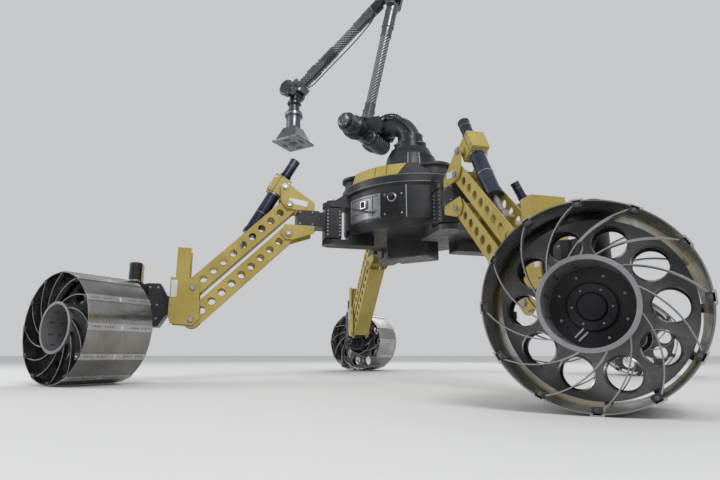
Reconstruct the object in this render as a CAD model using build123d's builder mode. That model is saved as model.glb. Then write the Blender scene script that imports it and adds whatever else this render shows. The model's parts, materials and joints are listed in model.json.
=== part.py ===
"""Four-legged wheeled rover with a central six-joint arm.

Row frame in millimetres: Z up with the floor at 0, +X forward, +Y to the left,
origin on the floor under the turret axis.
"""
import os
from math import asin, atan2, cos, degrees, hypot, radians, sin

from build123d import *

os.makedirs("parts", exist_ok=True)

# Each leg: its heading from +X, and the side along Y its wheel's open face looks to
LEGS = [
    {"name": "front_left", "heading": 45, "out": 1},
    {"name": "rear_left", "heading": 135, "out": 1},
    {"name": "rear_right", "heading": 225, "out": -1},
    {"name": "front_right", "heading": 315, "out": -1},
]

# Fits
GAP = 5.0
PIN_FIT = 0.4
PLATE = 4.0

# Wheel: thin rim, seam cleats, hub tube, two web discs, two rows of spring strips
WHEEL_R = 200.0
WHEEL_W = 250.0
RIM_T = 2.5
SEAMS = 12
CLEAT_H = 3.0
CLEAT_W = 24.0
HUB_R = 86.0
HUB_T = 4.0
HUB_LIP = 5.0
HUB_L = 196.0
STRIP_T = 2.4
STRIP_W = 14.0
STRIP_IN = 5.0
STRIP_TURN = -51.0
WEB_T = 3.0
WEB_R = 183.0
WEB_IN = 112.0
WEB_GAP = 46.0
WEB_HOLES = 10
WEB_HOLE_R = 33.0
WEB_HOLE_PCR = 137.0
HUB_PLATE_IN = 100.0
HUB_PLATE_T = 8.0

# Leg pins, leg coordinates: x out from the swivel axis, z up
SWIVEL_R = 396.0
PIVOT_X = 206.0
PIVOT_Z = 758.0
PIN_DROP = 129.0
LIFT = 45.0
STEER_OUT = 231.0
WHEEL_OUT = 175.0

# Bars
HOLE_PITCH = 54.0
HOLE_COUNT = 9
HOLE_R = 16.0
BAR_DEPTH = 70.0
BAR_HALF = 45.0
PIN_R = 8.0
SLEEVE_R = 15.0

# Actuator
TRUNNION_DX = 20.0
TRUNNION_DZ = 84.0
EYE_PITCHES = 5.5
BARREL_OFF = 26.0
BARREL_R = 28.0
CLAMP_W = 68.0
CLAMP_L = 85.0
CLAMP_D = 80.0
MOTOR_R = 22.0
MOTOR_END = 150.0
BARREL_STOP = 88.0
ROD_R = 12.0
EYE_R = 20.0
EYE_BORE = 12.0
EYE_W = 24.0
EYE_PIN_R = 6.0

# Swivel head
SWIVEL_LO = 622.0
SWIVEL_HI = 762.0
SWIVEL_L = 76.0
SWIVEL_W = 90.0
SWIVEL_PIN_R = 14.0
BEAM_LO = 668.0
BEAM_HI = 738.0
BEAM_START = 70.0
BEAM_END = 165.0
BRACKET_START = 91.0
LUG_T = 22.0
LUG_R = 45.0
SWIVEL_CORNER = 10.0
NECK_INSET = 8.0
CAP_LIP = 12.0
CAP_H = 14.0
BRACKET_CORNER = 5.0
WASHER_T = 6.0
WASHER_LIP = 3.0

# Knee, gear box and steering
POST_H = 125.0
POST_L = 53.0
BOX_TOP = 388.0
BOX_BOTTOM = 216.0
BOX_CLEAR = 50.0
BOX_L_FULL = 56.0
BOX_TAPER = 28.0
BOX_NECK_HI = 338.0
BOX_NECK_LO = 262.0
KNEE_SEAT = 60.0
KNEE_OUT = 88.0
KNEE_RISE = 39.0
POST_IN = 16.0
BOX_FOOT_CUT = 20.0
BOX_FOOT_RISE = 30.0
BOX_EDGE = 12.0
HEAD_SKIRT = 8.0
HEAD_ROOF = 15.0
STEER_CAP_T = 12.0
ARM_W = 56.0
ARM_R = 36.0
HEAD_R = 34.0
HEAD_LO = 300.0
HEAD_HI = 395.0
STEER_PIN_R = 12.0
STEER_MOTOR_R = 24.0
STEER_MOTOR_H = 80.0
ARM_T = 22.0
FLANGE_R = 45.0
DRIVE_R = 58.0
SHAFT_R = 15.0

# Body
BODY_R = 331.0
BODY_LO = 640.0
RIM_LIP = 8.0
RIM_LO = 822.0
RIM_HI = 860.0
RIM_BEVEL = 12.0
BELLY_BEVEL_R = 38.0
BELLY_BEVEL_Z = 26.0
DECK_R = 315.0
DECK_Z = 915.0
SKIN = 5.0
SEAT = 0.4
PANEL_PROUD = 2.0
HOUSING_HALF = 72.0
ROOF_T = 12.0
ROOF_OVER = 14.0
LUG_ROOT_L = 120.0
LUG_ROOT_X = -132.0
LUG_ROOT_CORNER = 12.0
GUSSET_INSET = 4.0
GUSSET_T = 6.0
GUSSET_FROM = 8.0
GUSSET_RISE = 54.0
PANEL_LO = 675.0
PANEL_HI = 788.0
PANEL_FROM = 239.5
PANEL_TO = 270.5
PANEL_T = 5.0
BOX_L = 200.0
BOX_W = 164.0
BOX_LO = 548.0
BOX_CORNER = 10.0
BOX_BEVEL = 5.0
PAYLOAD_X = 150.0
PAYLOAD_Y = 110.0
PAYLOAD_HOLE_R = 4.2
PAYLOAD_HOLE_DEEP = 16.0

# Turret base
CONE_R = 150.0
SHOULDER_CONE_R = 122.0
CONE_TOP_R = 99.0
CONE_EDGE = 1045.0
CONE_TOP = 1090.0
RING_R = 80.0
RING_TOP = 1128.0
GROOVE = 4.0
YAW_PIN_R = 28.0
YAW_BORE_L = 40.0
FLANGE_LIP = 16.0
FLANGE_T = 8.0

# Arm, in the plane of the row's X and Z
CASTING_R = 52.0
CASTING_BEND = 100.0
CASTING_END = 120.0
COLLAR_LIP = 6.0
COLLAR_T = 12.0
TURN_GAP = 2.0
SHOULDER_X = -268.0
SHOULDER_Z = 1250.0
SHOULDER_R = 50.0
SHOULDER_PIN_R = 20.0
DRUM_END = 200.0
DRUM_LIP = 8.0
DRUM_WIDE_TO = 126.0
DRUM_STEP_TO = 134.0
DRUM_WAIST = 4.0
DRUM_CAP_L = 18.0
DRUM_CAP_IN = 12.0
ARM_MOTOR_X = 76.0
ARM_MOTOR_DROP = 62.0
ARM_MOTOR_R = 44.0
ARM_MOTOR_HALF = 72.0
FORK_IN = 50.0
FORK_T = 26.0
CHEEK_TAPER = 12.0
CHEEK_TIP = 28.0
CHEEK_TIP_HALF = 20.0
CHEEK_SLIM = 6.0
UPPER_L = 855.0
UPPER_LEAN = 14.3
TUBE_R = 28.0
SLEEVE_TUBE_R = 32.0
SLEEVE_FROM = 30.0
UPPER_SLEEVE_L = 100.0
TOP_SLEEVE_L = 130.0
FORK_ROOT = 16.0
BLOCK_CORNER = 10.0
HUB_SLIM = 4.0
ELBOW_FORK = 118.0
ELBOW_R = 40.0
ELBOW_IN = 30.0
ELBOW_FORK_T = 18.0
ELBOW_NECK_R = 22.0
FORE_L = 823.0
FORE_DROP = 33.9
FORE_START = 180.0
ELBOW_SLEEVE_L = 52.0
ELBOW_BLOCK_W = 52.0
FORK_END_LIP = 2.0
ELBOW_PIN_HALF = 52.0
FORE_PIN_FROM = 160.0
FORE_PIN_L = 70.0
FORE_PIN_R = 14.0
BELLOWS_L = 190.0
FORE_END = 60.0
FORE_SLEEVE_L = 60.0
BELLOWS_COLLAR = 18.0
RING_COUNT = 8
RING_PITCH = 18.0
RING_FROM = 28.0
RING_L = 11.0
WRIST_R = 36.0
WRIST_PIN_R = 12.0
WRIST_IN = 35.0
WRIST_FORK_T = 15.0
WRIST_ARM_L = 68.0
WRIST_ARM_W = 56.0
WRIST_ARM_AT = 30.0
WRIST_BLOCK_L = 100.0
WRIST_BLOCK_W = 62.0
WRIST_DRIVE_L = 24.0
WRIST_CAP_T = 8.0
FAR_CAP_T = 12.0
WRIST_HUB_SLIM = 4.0
WRIST_SHAFT_HALF = 40.0
WRIST_CAP_R = 48.0
WRIST_DROP = 320.0
NECK_DROP = 132.0
NECK_R = 30.0
TOOL_RING_R = 52.0
TOOL_RING_H = 20.0
TOOL_BODY_R = 43.0
END_PLATE = 175.0
END_PLATE_T = 8.0
PYRAMID_H = 92.0
PYRAMID_TOP = 84.0
PYRAMID_FOOT = 150.0
END_HOLES = 162.0
END_HOLE_R = 3.4

# Worked out from the sizes above
BAR_L = HOLE_PITCH * (HOLE_COUNT + 1)
CHEEK_IN = BAR_HALF + GAP
CHEEK_OUT = CHEEK_IN + PLATE
KNEE_X = PIVOT_X + BAR_L * cos(radians(LIFT))
KNEE_Z = PIVOT_Z - BAR_L * sin(radians(LIFT))
STEER_X = KNEE_X + STEER_OUT
BOX_END = STEER_X - BOX_CLEAR
EYE_ALONG = EYE_PITCHES * HOLE_PITCH
EYE_X = PIVOT_X + EYE_ALONG * cos(radians(LIFT))
EYE_Z = PIVOT_Z - EYE_ALONG * sin(radians(LIFT))
TRUN_X = PIVOT_X + TRUNNION_DX
TRUN_Z = PIVOT_Z + TRUNNION_DZ
REACH = hypot(EYE_X - TRUN_X, EYE_Z - TRUN_Z)
# Slope of the barrel: its line passes the eye and misses the trunnion by BARREL_OFF
BARREL_DOWN = degrees(atan2(TRUN_Z - EYE_Z, EYE_X - TRUN_X) + asin(BARREL_OFF / REACH))
EYE_DIST = (REACH**2 - BARREL_OFF**2) ** 0.5
LUG_CLEAR = GAP + 1
RIM_R = BODY_R + RIM_LIP
HOUSING_CENTRE = SWIVEL_R - hypot(SWIVEL_L / 2, SWIVEL_W / 2) - GAP - HOUSING_HALF
GUSSET_TO = BODY_R - SKIN - SWIVEL_R
LUG_LO = SWIVEL_LO - LUG_CLEAR - LUG_T
LUG_HI = SWIVEL_HI + LUG_CLEAR + LUG_T
ELBOW_X = SHOULDER_X + UPPER_L * sin(radians(UPPER_LEAN))
ELBOW_Z = SHOULDER_Z + UPPER_L * cos(radians(UPPER_LEAN))
WRIST_X = ELBOW_X - FORE_L * cos(radians(FORE_DROP))
WRIST_Z = ELBOW_Z - FORE_L * sin(radians(FORE_DROP))
END_Z = WRIST_Z - WRIST_DROP
RIM_OUT = WHEEL_R - CLEAT_H
HUB_PLATE_A = WHEEL_OUT + WHEEL_W / 2 - HUB_PLATE_IN


def leg_point(heading, x, z):
    """A row point from a leg's own x and z."""
    h = radians(heading)
    return ((SWIVEL_R + x) * cos(h), (SWIVEL_R + x) * sin(h), z)


def side(heading, x=0.0, z=0.0, down=0.0):
    """The leg's upright plane: local x runs out and down by the angle, local y up."""
    h = radians(heading)
    d = radians(down)
    out = (cos(h) * cos(d), sin(h) * cos(d), -sin(d))
    return Plane(origin=leg_point(heading, x, z), x_dir=out, z_dir=(sin(h), -cos(h), 0))


def flat(heading, x=0.0, z=0.0):
    """A level plane in the leg's frame: local x runs out, local z up."""
    h = radians(heading)
    return Plane(origin=leg_point(heading, x, z), x_dir=(cos(h), sin(h), 0), z_dir=(0, 0, 1))


# Chassis
with BuildPart() as chassis:
    with BuildSketch(Plane.XZ):
        with BuildLine():
            Polyline(
                (0, BODY_LO),
                (BODY_R - BELLY_BEVEL_R, BODY_LO),
                (BODY_R, BODY_LO + BELLY_BEVEL_Z),
                (BODY_R, RIM_LO - RIM_BEVEL),
                (RIM_R, RIM_LO),
                (RIM_R, RIM_HI),
                (BODY_R - SKIN, RIM_HI),
                (DECK_R - SKIN, DECK_Z),
                (0, DECK_Z),
                close=True,
            )
        make_face()
    revolve(axis=Axis.Z)
    for leg in LEGS:
        centre = flat(leg["heading"], HOUSING_CENTRE - SWIVEL_R, BODY_LO)
        with BuildSketch(centre):
            Circle(HOUSING_HALF)
            with Locations((-HOUSING_CENTRE / 2, 0)):
                Rectangle(HOUSING_CENTRE, 2 * HOUSING_HALF)
        extrude(amount=DECK_Z - ROOF_T - BODY_LO)
        with BuildSketch(centre.offset(DECK_Z - ROOF_T - BODY_LO)):
            Circle(HOUSING_HALF + ROOF_OVER)
            with Locations((-HOUSING_CENTRE / 2, 0)):
                Rectangle(HOUSING_CENTRE, 2 * (HOUSING_HALF + ROOF_OVER))
        extrude(amount=ROOF_T)
        with BuildSketch(flat(leg["heading"], 0, LUG_LO), flat(leg["heading"], 0, LUG_HI - LUG_T)):
            Circle(LUG_R)
            with Locations((-LUG_R, 0)):
                Rectangle(2 * LUG_R, 2 * LUG_R)
        extrude(amount=LUG_T)
        # Lower lug's root under the body, and gussets over the upper lug
        with BuildSketch(flat(leg["heading"], LUG_ROOT_X, LUG_LO)):
            RectangleRounded(LUG_ROOT_L, 2 * LUG_R, LUG_ROOT_CORNER)
        extrude(amount=BODY_LO - LUG_LO)
        upright = side(leg["heading"])
        gusset_in = LUG_R - GUSSET_INSET - GUSSET_T
        with BuildSketch(upright.offset(gusset_in), upright.offset(-gusset_in - GUSSET_T)):
            with BuildLine():
                Polyline(
                    (GUSSET_FROM, LUG_HI),
                    (GUSSET_TO, LUG_HI + GUSSET_RISE),
                    (GUSSET_TO, LUG_HI),
                    close=True,
                )
            make_face()
        extrude(amount=GUSSET_T)
        with BuildSketch(flat(leg["heading"], 0, LUG_LO)):
            Circle(SWIVEL_PIN_R + PIN_FIT)
        extrude(amount=LUG_HI - LUG_LO, mode=Mode.SUBTRACT)
chassis.part.label = "chassis"
export_step(chassis.part, "parts/chassis.step")

# Yellow roof panels between the leg housings
with BuildPart() as deck_panels:
    with BuildSketch(Plane.XZ):
        with BuildLine():
            Polyline(
                (BODY_R - SKIN + SEAT, RIM_HI),
                (BODY_R + PANEL_PROUD, RIM_HI),
                (DECK_R + PANEL_PROUD, DECK_Z),
                (DECK_R - SKIN + SEAT, DECK_Z),
                close=True,
            )
        make_face()
    revolve(axis=Axis.Z)
    for leg in LEGS:
        with BuildSketch(flat(leg["heading"], -SWIVEL_R, RIM_LO)):
            with Locations((RIM_R, 0)):
                Rectangle(2 * RIM_R, 2 * (HOUSING_HALF + ROOF_OVER))
        extrude(amount=2 * (DECK_Z - RIM_LO), mode=Mode.SUBTRACT)
deck_panels.part.label = "deck_panels"
export_step(deck_panels.part, "parts/deck_panels.step")

# Framed service panels on the two long sides
with BuildPart() as side_panels:
    for turn in (0, 180):
        heading = radians(PANEL_FROM + turn)
        across = (sin(heading), -cos(heading), 0)
        profile = Plane(origin=(0, 0, 0), x_dir=(cos(heading), sin(heading), 0), z_dir=across)
        with BuildSketch(profile):
            with BuildLine():
                Polyline(
                    (BODY_R + SEAT, PANEL_LO),
                    (BODY_R + PANEL_T, PANEL_LO + PANEL_T),
                    (BODY_R + PANEL_T, PANEL_HI - PANEL_T),
                    (BODY_R + SEAT, PANEL_HI),
                    close=True,
                )
            make_face()
        revolve(axis=Axis.Z, revolution_arc=PANEL_TO - PANEL_FROM)
side_panels.part.label = "side_panels"
export_step(side_panels.part, "parts/side_panels.step")

# Payload box under the belly
with BuildPart() as under_box:
    with BuildSketch(Plane.XY.offset(BOX_LO)):
        Rectangle(BOX_L, BOX_W)
    extrude(amount=BODY_LO - BOX_LO)
    fillet(under_box.edges().filter_by(Axis.Z), BOX_CORNER)
    chamfer(under_box.faces().sort_by(Axis.Z)[0].edges(), BOX_BEVEL)
    with BuildSketch(Plane.XY.offset(BOX_LO)):
        with GridLocations(PAYLOAD_X, PAYLOAD_Y, 2, 2):
            Circle(PAYLOAD_HOLE_R)
    extrude(amount=PAYLOAD_HOLE_DEEP, mode=Mode.SUBTRACT)
under_box.part.label = "under_box"
export_step(under_box.part, "parts/under_box.step")

# Fixed turret base: deck flange, panelled cone, ring
with BuildPart() as turret_base:
    with BuildSketch(Plane.XZ):
        with BuildLine():
            Polyline(
                (0, DECK_Z),
                (CONE_R + FLANGE_LIP, DECK_Z),
                (CONE_R + FLANGE_LIP, DECK_Z + FLANGE_T),
                (CONE_R, DECK_Z + FLANGE_T),
                (SHOULDER_CONE_R, CONE_EDGE),
                (CONE_TOP_R, CONE_TOP),
                (RING_R - GROOVE, CONE_TOP),
                (RING_R - GROOVE, CONE_TOP + GROOVE),
                (RING_R, CONE_TOP + GROOVE),
                (RING_R, RING_TOP),
                (0, RING_TOP),
                close=True,
            )
        make_face()
    revolve(axis=Axis.Z)
    with BuildSketch(Plane.XY.offset(RING_TOP - YAW_BORE_L)):
        Circle(YAW_PIN_R + PIN_FIT)
    extrude(amount=YAW_BORE_L, mode=Mode.SUBTRACT)
turret_base.part.label = "turret_base"
export_step(turret_base.part, "parts/turret_base.step")

# Arm planes: the joints' planes look along -Y, the tubes' planes along their tubes
UP_DIR = (sin(radians(UPPER_LEAN)), 0, cos(radians(UPPER_LEAN)))
FORE_DIR = (-cos(radians(FORE_DROP)), 0, -sin(radians(FORE_DROP)))
SHOULDER = Plane(origin=(SHOULDER_X, 0, SHOULDER_Z), x_dir=(1, 0, 0), z_dir=(0, -1, 0))
ELBOW = Plane(origin=(ELBOW_X, 0, ELBOW_Z), x_dir=(1, 0, 0), z_dir=(0, -1, 0))
WRIST = Plane(origin=(WRIST_X, 0, WRIST_Z), x_dir=(1, 0, 0), z_dir=(0, -1, 0))
UP_TUBE = Plane(origin=SHOULDER.origin, x_dir=(0, 1, 0), z_dir=UP_DIR)
FORE_TUBE = Plane(origin=ELBOW.origin, x_dir=(0, 1, 0), z_dir=FORE_DIR)

# Turning shoulder: neck, curved casting, fork and the long transverse drive
with BuildPart() as arm_turret:
    with BuildSketch(Plane.XY.offset(RING_TOP - YAW_BORE_L + TURN_GAP)):
        Circle(YAW_PIN_R)
    extrude(amount=YAW_BORE_L + COLLAR_T)
    with BuildSketch(Plane.XY.offset(RING_TOP + TURN_GAP)):
        Circle(CASTING_R + COLLAR_LIP)
    extrude(amount=COLLAR_T)
    with BuildLine() as spine:
        FilletPolyline(
            (0, 0, RING_TOP + COLLAR_T - TURN_GAP),
            (0, 0, SHOULDER_Z),
            (SHOULDER_X + CASTING_END, 0, SHOULDER_Z),
            radius=CASTING_BEND,
        )
    with BuildSketch(Plane(origin=(0, 0, RING_TOP + COLLAR_T - TURN_GAP))):
        Circle(CASTING_R)
    sweep()
    with BuildSketch(SHOULDER.offset(FORK_IN), SHOULDER.offset(-FORK_IN - FORK_T)):
        Circle(SHOULDER_R)
        with BuildLine():
            Polyline(
                (0, SHOULDER_R),
                (CASTING_END + CHEEK_TAPER, SHOULDER_R - CHEEK_SLIM),
                (CASTING_END + CHEEK_TIP, CHEEK_TIP_HALF),
                (CASTING_END + CHEEK_TIP, -CHEEK_TIP_HALF),
                (CASTING_END + CHEEK_TAPER, -SHOULDER_R + CHEEK_SLIM),
                (0, -SHOULDER_R),
                close=True,
            )
        make_face()
    extrude(amount=FORK_T)
    # Drive drums outside the fork, stepping down to the end caps
    with BuildSketch(Plane(origin=SHOULDER.origin, x_dir=(0, 1, 0), z_dir=(1, 0, 0))):
        with BuildLine():
            Polyline(
                (FORK_IN + FORK_T, 0),
                (FORK_IN + FORK_T, SHOULDER_R + DRUM_LIP),
                (DRUM_WIDE_TO, SHOULDER_R + DRUM_LIP),
                (DRUM_STEP_TO, SHOULDER_R - DRUM_WAIST),
                (DRUM_END - DRUM_CAP_L - DRUM_WAIST, SHOULDER_R - DRUM_WAIST),
                (DRUM_END - DRUM_CAP_L, SHOULDER_R - DRUM_CAP_IN),
                (DRUM_END, SHOULDER_R - DRUM_CAP_IN),
                (DRUM_END, 0),
                close=True,
            )
        make_face()
        mirror(about=Plane.YZ)
    revolve(axis=Axis(SHOULDER.origin, (0, 1, 0)))
    # Motor slung below the casting
    with BuildSketch(SHOULDER):
        with Locations((ARM_MOTOR_X, -ARM_MOTOR_DROP)):
            Circle(ARM_MOTOR_R)
    extrude(amount=ARM_MOTOR_HALF, both=True)
    with BuildSketch(SHOULDER):
        Circle(SHOULDER_PIN_R)
    extrude(amount=FORK_IN + FORK_T / 2, both=True)
arm_turret.part.label = "arm_turret"
export_step(arm_turret.part, "parts/arm_turret.step")

# Upper arm
with BuildPart() as arm_upper:
    with BuildSketch(SHOULDER):
        Circle(SHOULDER_R - HUB_SLIM)
    extrude(amount=FORK_IN - GAP, both=True)
    with BuildSketch(UP_TUBE.offset(SLEEVE_FROM)):
        Circle(SLEEVE_TUBE_R)
    extrude(amount=UPPER_SLEEVE_L)
    with BuildSketch(UP_TUBE.offset(SLEEVE_FROM)):
        Circle(TUBE_R)
    extrude(amount=UPPER_L - ELBOW_FORK - SLEEVE_FROM)
    with BuildSketch(UP_TUBE.offset(UPPER_L - ELBOW_FORK - TOP_SLEEVE_L)):
        Circle(SLEEVE_TUBE_R)
    extrude(amount=TOP_SLEEVE_L)
    with BuildSketch(UP_TUBE.offset(UPPER_L - ELBOW_FORK - FORK_ROOT / 2)):
        RectangleRounded(2 * (ELBOW_IN + ELBOW_FORK_T), ELBOW_BLOCK_W, BLOCK_CORNER)
    extrude(amount=FORK_ROOT)
    with BuildSketch(ELBOW.offset(ELBOW_IN), ELBOW.offset(-ELBOW_IN - ELBOW_FORK_T)):
        Circle(ELBOW_R + FORK_END_LIP)
        middle = (-ELBOW_FORK / 2 * UP_DIR[0], -ELBOW_FORK / 2 * UP_DIR[2])
        with Locations(Location(middle, 90 - UPPER_LEAN)):
            Rectangle(ELBOW_FORK, ELBOW_BLOCK_W)
    extrude(amount=ELBOW_FORK_T)
    with BuildSketch(ELBOW):
        Circle(FORE_PIN_R)
    extrude(amount=ELBOW_PIN_HALF, both=True)
    with BuildSketch(SHOULDER):
        Circle(SHOULDER_PIN_R + PIN_FIT)
    extrude(amount=FORK_IN, both=True, mode=Mode.SUBTRACT)
arm_upper.part.label = "arm_upper"
export_step(arm_upper.part, "parts/arm_upper.step")

# Elbow block that carries the forearm
with BuildPart() as arm_elbow:
    with BuildSketch(ELBOW):
        Circle(ELBOW_R - FORK_END_LIP)
    extrude(amount=ELBOW_IN - GAP, both=True)
    with BuildSketch(FORE_TUBE):
        Circle(ELBOW_NECK_R)
    extrude(amount=FORE_START - ELBOW_SLEEVE_L)
    with BuildSketch(FORE_TUBE.offset(FORE_START - TURN_GAP - ELBOW_SLEEVE_L)):
        Circle(SLEEVE_TUBE_R)
    extrude(amount=ELBOW_SLEEVE_L)
    with BuildSketch(FORE_TUBE.offset(FORE_PIN_FROM)):
        Circle(FORE_PIN_R)
    extrude(amount=FORE_PIN_L)
    with BuildSketch(ELBOW):
        Circle(FORE_PIN_R + PIN_FIT)
    extrude(amount=ELBOW_R, both=True, mode=Mode.SUBTRACT)
arm_elbow.part.label = "arm_elbow"
export_step(arm_elbow.part, "parts/arm_elbow.step")

# Forearm: sleeve, tube, ringed end section and the wrist fork
with BuildPart() as arm_forearm:
    with BuildSketch(FORE_TUBE.offset(FORE_START)):
        Circle(SLEEVE_TUBE_R)
    extrude(amount=FORE_SLEEVE_L)
    with BuildSketch(FORE_TUBE.offset(FORE_START + FORK_ROOT)):
        Circle(TUBE_R)
    extrude(amount=FORE_L - FORE_END - FORE_START - FORK_ROOT)
    with BuildSketch(FORE_TUBE.offset(FORE_L - FORE_END - BELLOWS_L)):
        Circle(SLEEVE_TUBE_R + 1)
    extrude(amount=BELLOWS_COLLAR)
    for ring in range(RING_COUNT):
        with BuildSketch(FORE_TUBE.offset(FORE_L - FORE_END - BELLOWS_L + RING_FROM + ring * RING_PITCH)):
            Circle(SLEEVE_TUBE_R)
        extrude(amount=RING_L)
    with BuildSketch(FORE_TUBE.offset(FORE_L - FORE_END - FORK_ROOT + TURN_GAP)):
        RectangleRounded(WRIST_BLOCK_L, WRIST_BLOCK_W, BLOCK_CORNER)
    extrude(amount=FORK_ROOT)
    with BuildSketch(WRIST.offset(WRIST_IN), WRIST.offset(-WRIST_IN - WRIST_FORK_T)):
        Circle(WRIST_R)
        root = (-WRIST_ARM_AT * FORE_DIR[0], -WRIST_ARM_AT * FORE_DIR[2])
        with Locations(Location(root, FORE_DROP)):
            Rectangle(WRIST_ARM_L, WRIST_ARM_W)
    extrude(amount=WRIST_FORK_T)
    with BuildSketch(WRIST.offset(WRIST_IN + WRIST_FORK_T)):
        Circle(WRIST_CAP_R - 4)
    extrude(amount=WRIST_DRIVE_L)
    with BuildSketch(WRIST.offset(WRIST_IN + WRIST_FORK_T + WRIST_DRIVE_L)):
        Circle(WRIST_CAP_R)
    extrude(amount=WRIST_CAP_T)
    with BuildSketch(WRIST.offset(-WRIST_IN - WRIST_FORK_T - FAR_CAP_T)):
        Circle(WRIST_R - 6)
    extrude(amount=FAR_CAP_T)
    with BuildSketch(WRIST):
        Circle(WRIST_PIN_R)
    extrude(amount=WRIST_SHAFT_HALF, both=True)
    with BuildSketch(FORE_TUBE.offset(FORE_PIN_FROM)):
        Circle(FORE_PIN_R + PIN_FIT)
    extrude(amount=FORE_PIN_L + TURN_GAP, mode=Mode.SUBTRACT)
arm_forearm.part.label = "arm_forearm"
export_step(arm_forearm.part, "parts/arm_forearm.step")

# Wrist: hub in the fork and a ringed neck
with BuildPart() as arm_wrist:
    with BuildSketch(WRIST):
        Circle(WRIST_R - WRIST_HUB_SLIM)
    extrude(amount=WRIST_IN - GAP, both=True)
    with BuildSketch(Plane.XZ):
        with BuildLine():
            Polyline(
                (WRIST_X, WRIST_Z - 10),
                (WRIST_X + NECK_R - 2, WRIST_Z - 10),
                (WRIST_X + NECK_R - 2, WRIST_Z - WRIST_R - 10),
                (WRIST_X + NECK_R + 10, WRIST_Z - WRIST_R - 24),
                (WRIST_X + NECK_R + 10, WRIST_Z - WRIST_R - 38),
                (WRIST_X + NECK_R, WRIST_Z - WRIST_R - 48),
                (WRIST_X + NECK_R, WRIST_Z - NECK_DROP + 14),
                (WRIST_X + TOOL_BODY_R, WRIST_Z - NECK_DROP + 10),
                (WRIST_X + TOOL_BODY_R, WRIST_Z - NECK_DROP + 2),
                (WRIST_X, WRIST_Z - NECK_DROP + 2),
                close=True,
            )
        make_face()
    revolve(axis=Axis((WRIST_X, 0, 0), (0, 0, 1)))
    with BuildSketch(Plane(origin=(WRIST_X, 0, WRIST_Z - NECK_DROP - 28))):
        Circle(WRIST_PIN_R)
    extrude(amount=40)
    with BuildSketch(WRIST):
        Circle(WRIST_PIN_R + PIN_FIT)
    extrude(amount=WRIST_SHAFT_HALF, both=True, mode=Mode.SUBTRACT)
arm_wrist.part.label = "arm_wrist"
export_step(arm_wrist.part, "parts/arm_wrist.step")

# Square end plate under its pyramid
with BuildPart() as arm_plate:
    with BuildSketch(Plane(origin=(WRIST_X, 0, END_Z))):
        RectangleRounded(END_PLATE, END_PLATE, 5)
    extrude(amount=END_PLATE_T)
    with BuildSketch(Plane(origin=(WRIST_X, 0, END_Z + END_PLATE_T))):
        Rectangle(PYRAMID_FOOT, PYRAMID_FOOT)
    with BuildSketch(Plane(origin=(WRIST_X, 0, END_Z + PYRAMID_H))):
        Rectangle(PYRAMID_TOP, PYRAMID_TOP)
    loft()
    with BuildSketch(Plane(origin=(WRIST_X, 0, END_Z + PYRAMID_H - 6))):
        Circle(TOOL_BODY_R)
    extrude(amount=WRIST_DROP - NECK_DROP - PYRAMID_H - TOOL_RING_H + 8)
    with BuildSketch(Plane(origin=(WRIST_X, 0, END_Z + WRIST_DROP - NECK_DROP - TOOL_RING_H))):
        Circle(TOOL_RING_R)
    extrude(amount=TOOL_RING_H)
    with BuildSketch(Plane(origin=(WRIST_X, 0, END_Z + WRIST_DROP - NECK_DROP - 32))):
        Circle(WRIST_PIN_R + PIN_FIT)
    extrude(amount=40, mode=Mode.SUBTRACT)
    with BuildSketch(Plane(origin=(WRIST_X, 0, END_Z))):
        with GridLocations(END_HOLES, END_HOLES, 2, 2):
            Circle(END_HOLE_R)
    extrude(amount=END_PLATE_T, mode=Mode.SUBTRACT)
arm_plate.part.label = "arm_plate"
export_step(arm_plate.part, "parts/arm_plate.step")

# One spring strip, drawn once: from the hub out to a seam of the rim
with BuildSketch() as strip:
    with BuildLine():
        turn = radians(STRIP_TURN)
        inner_r = HUB_R - HUB_T / 2
        outer_r = RIM_OUT - RIM_T / 2
        middle_r = (inner_r + outer_r) / 2 + 4
        ThreePointArc(
            (inner_r * cos(-turn), inner_r * sin(-turn)),
            (middle_r * cos(-turn * 0.4), middle_r * sin(-turn * 0.4)),
            (outer_r, 0),
        )
    trace(line_width=STRIP_T)

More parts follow.
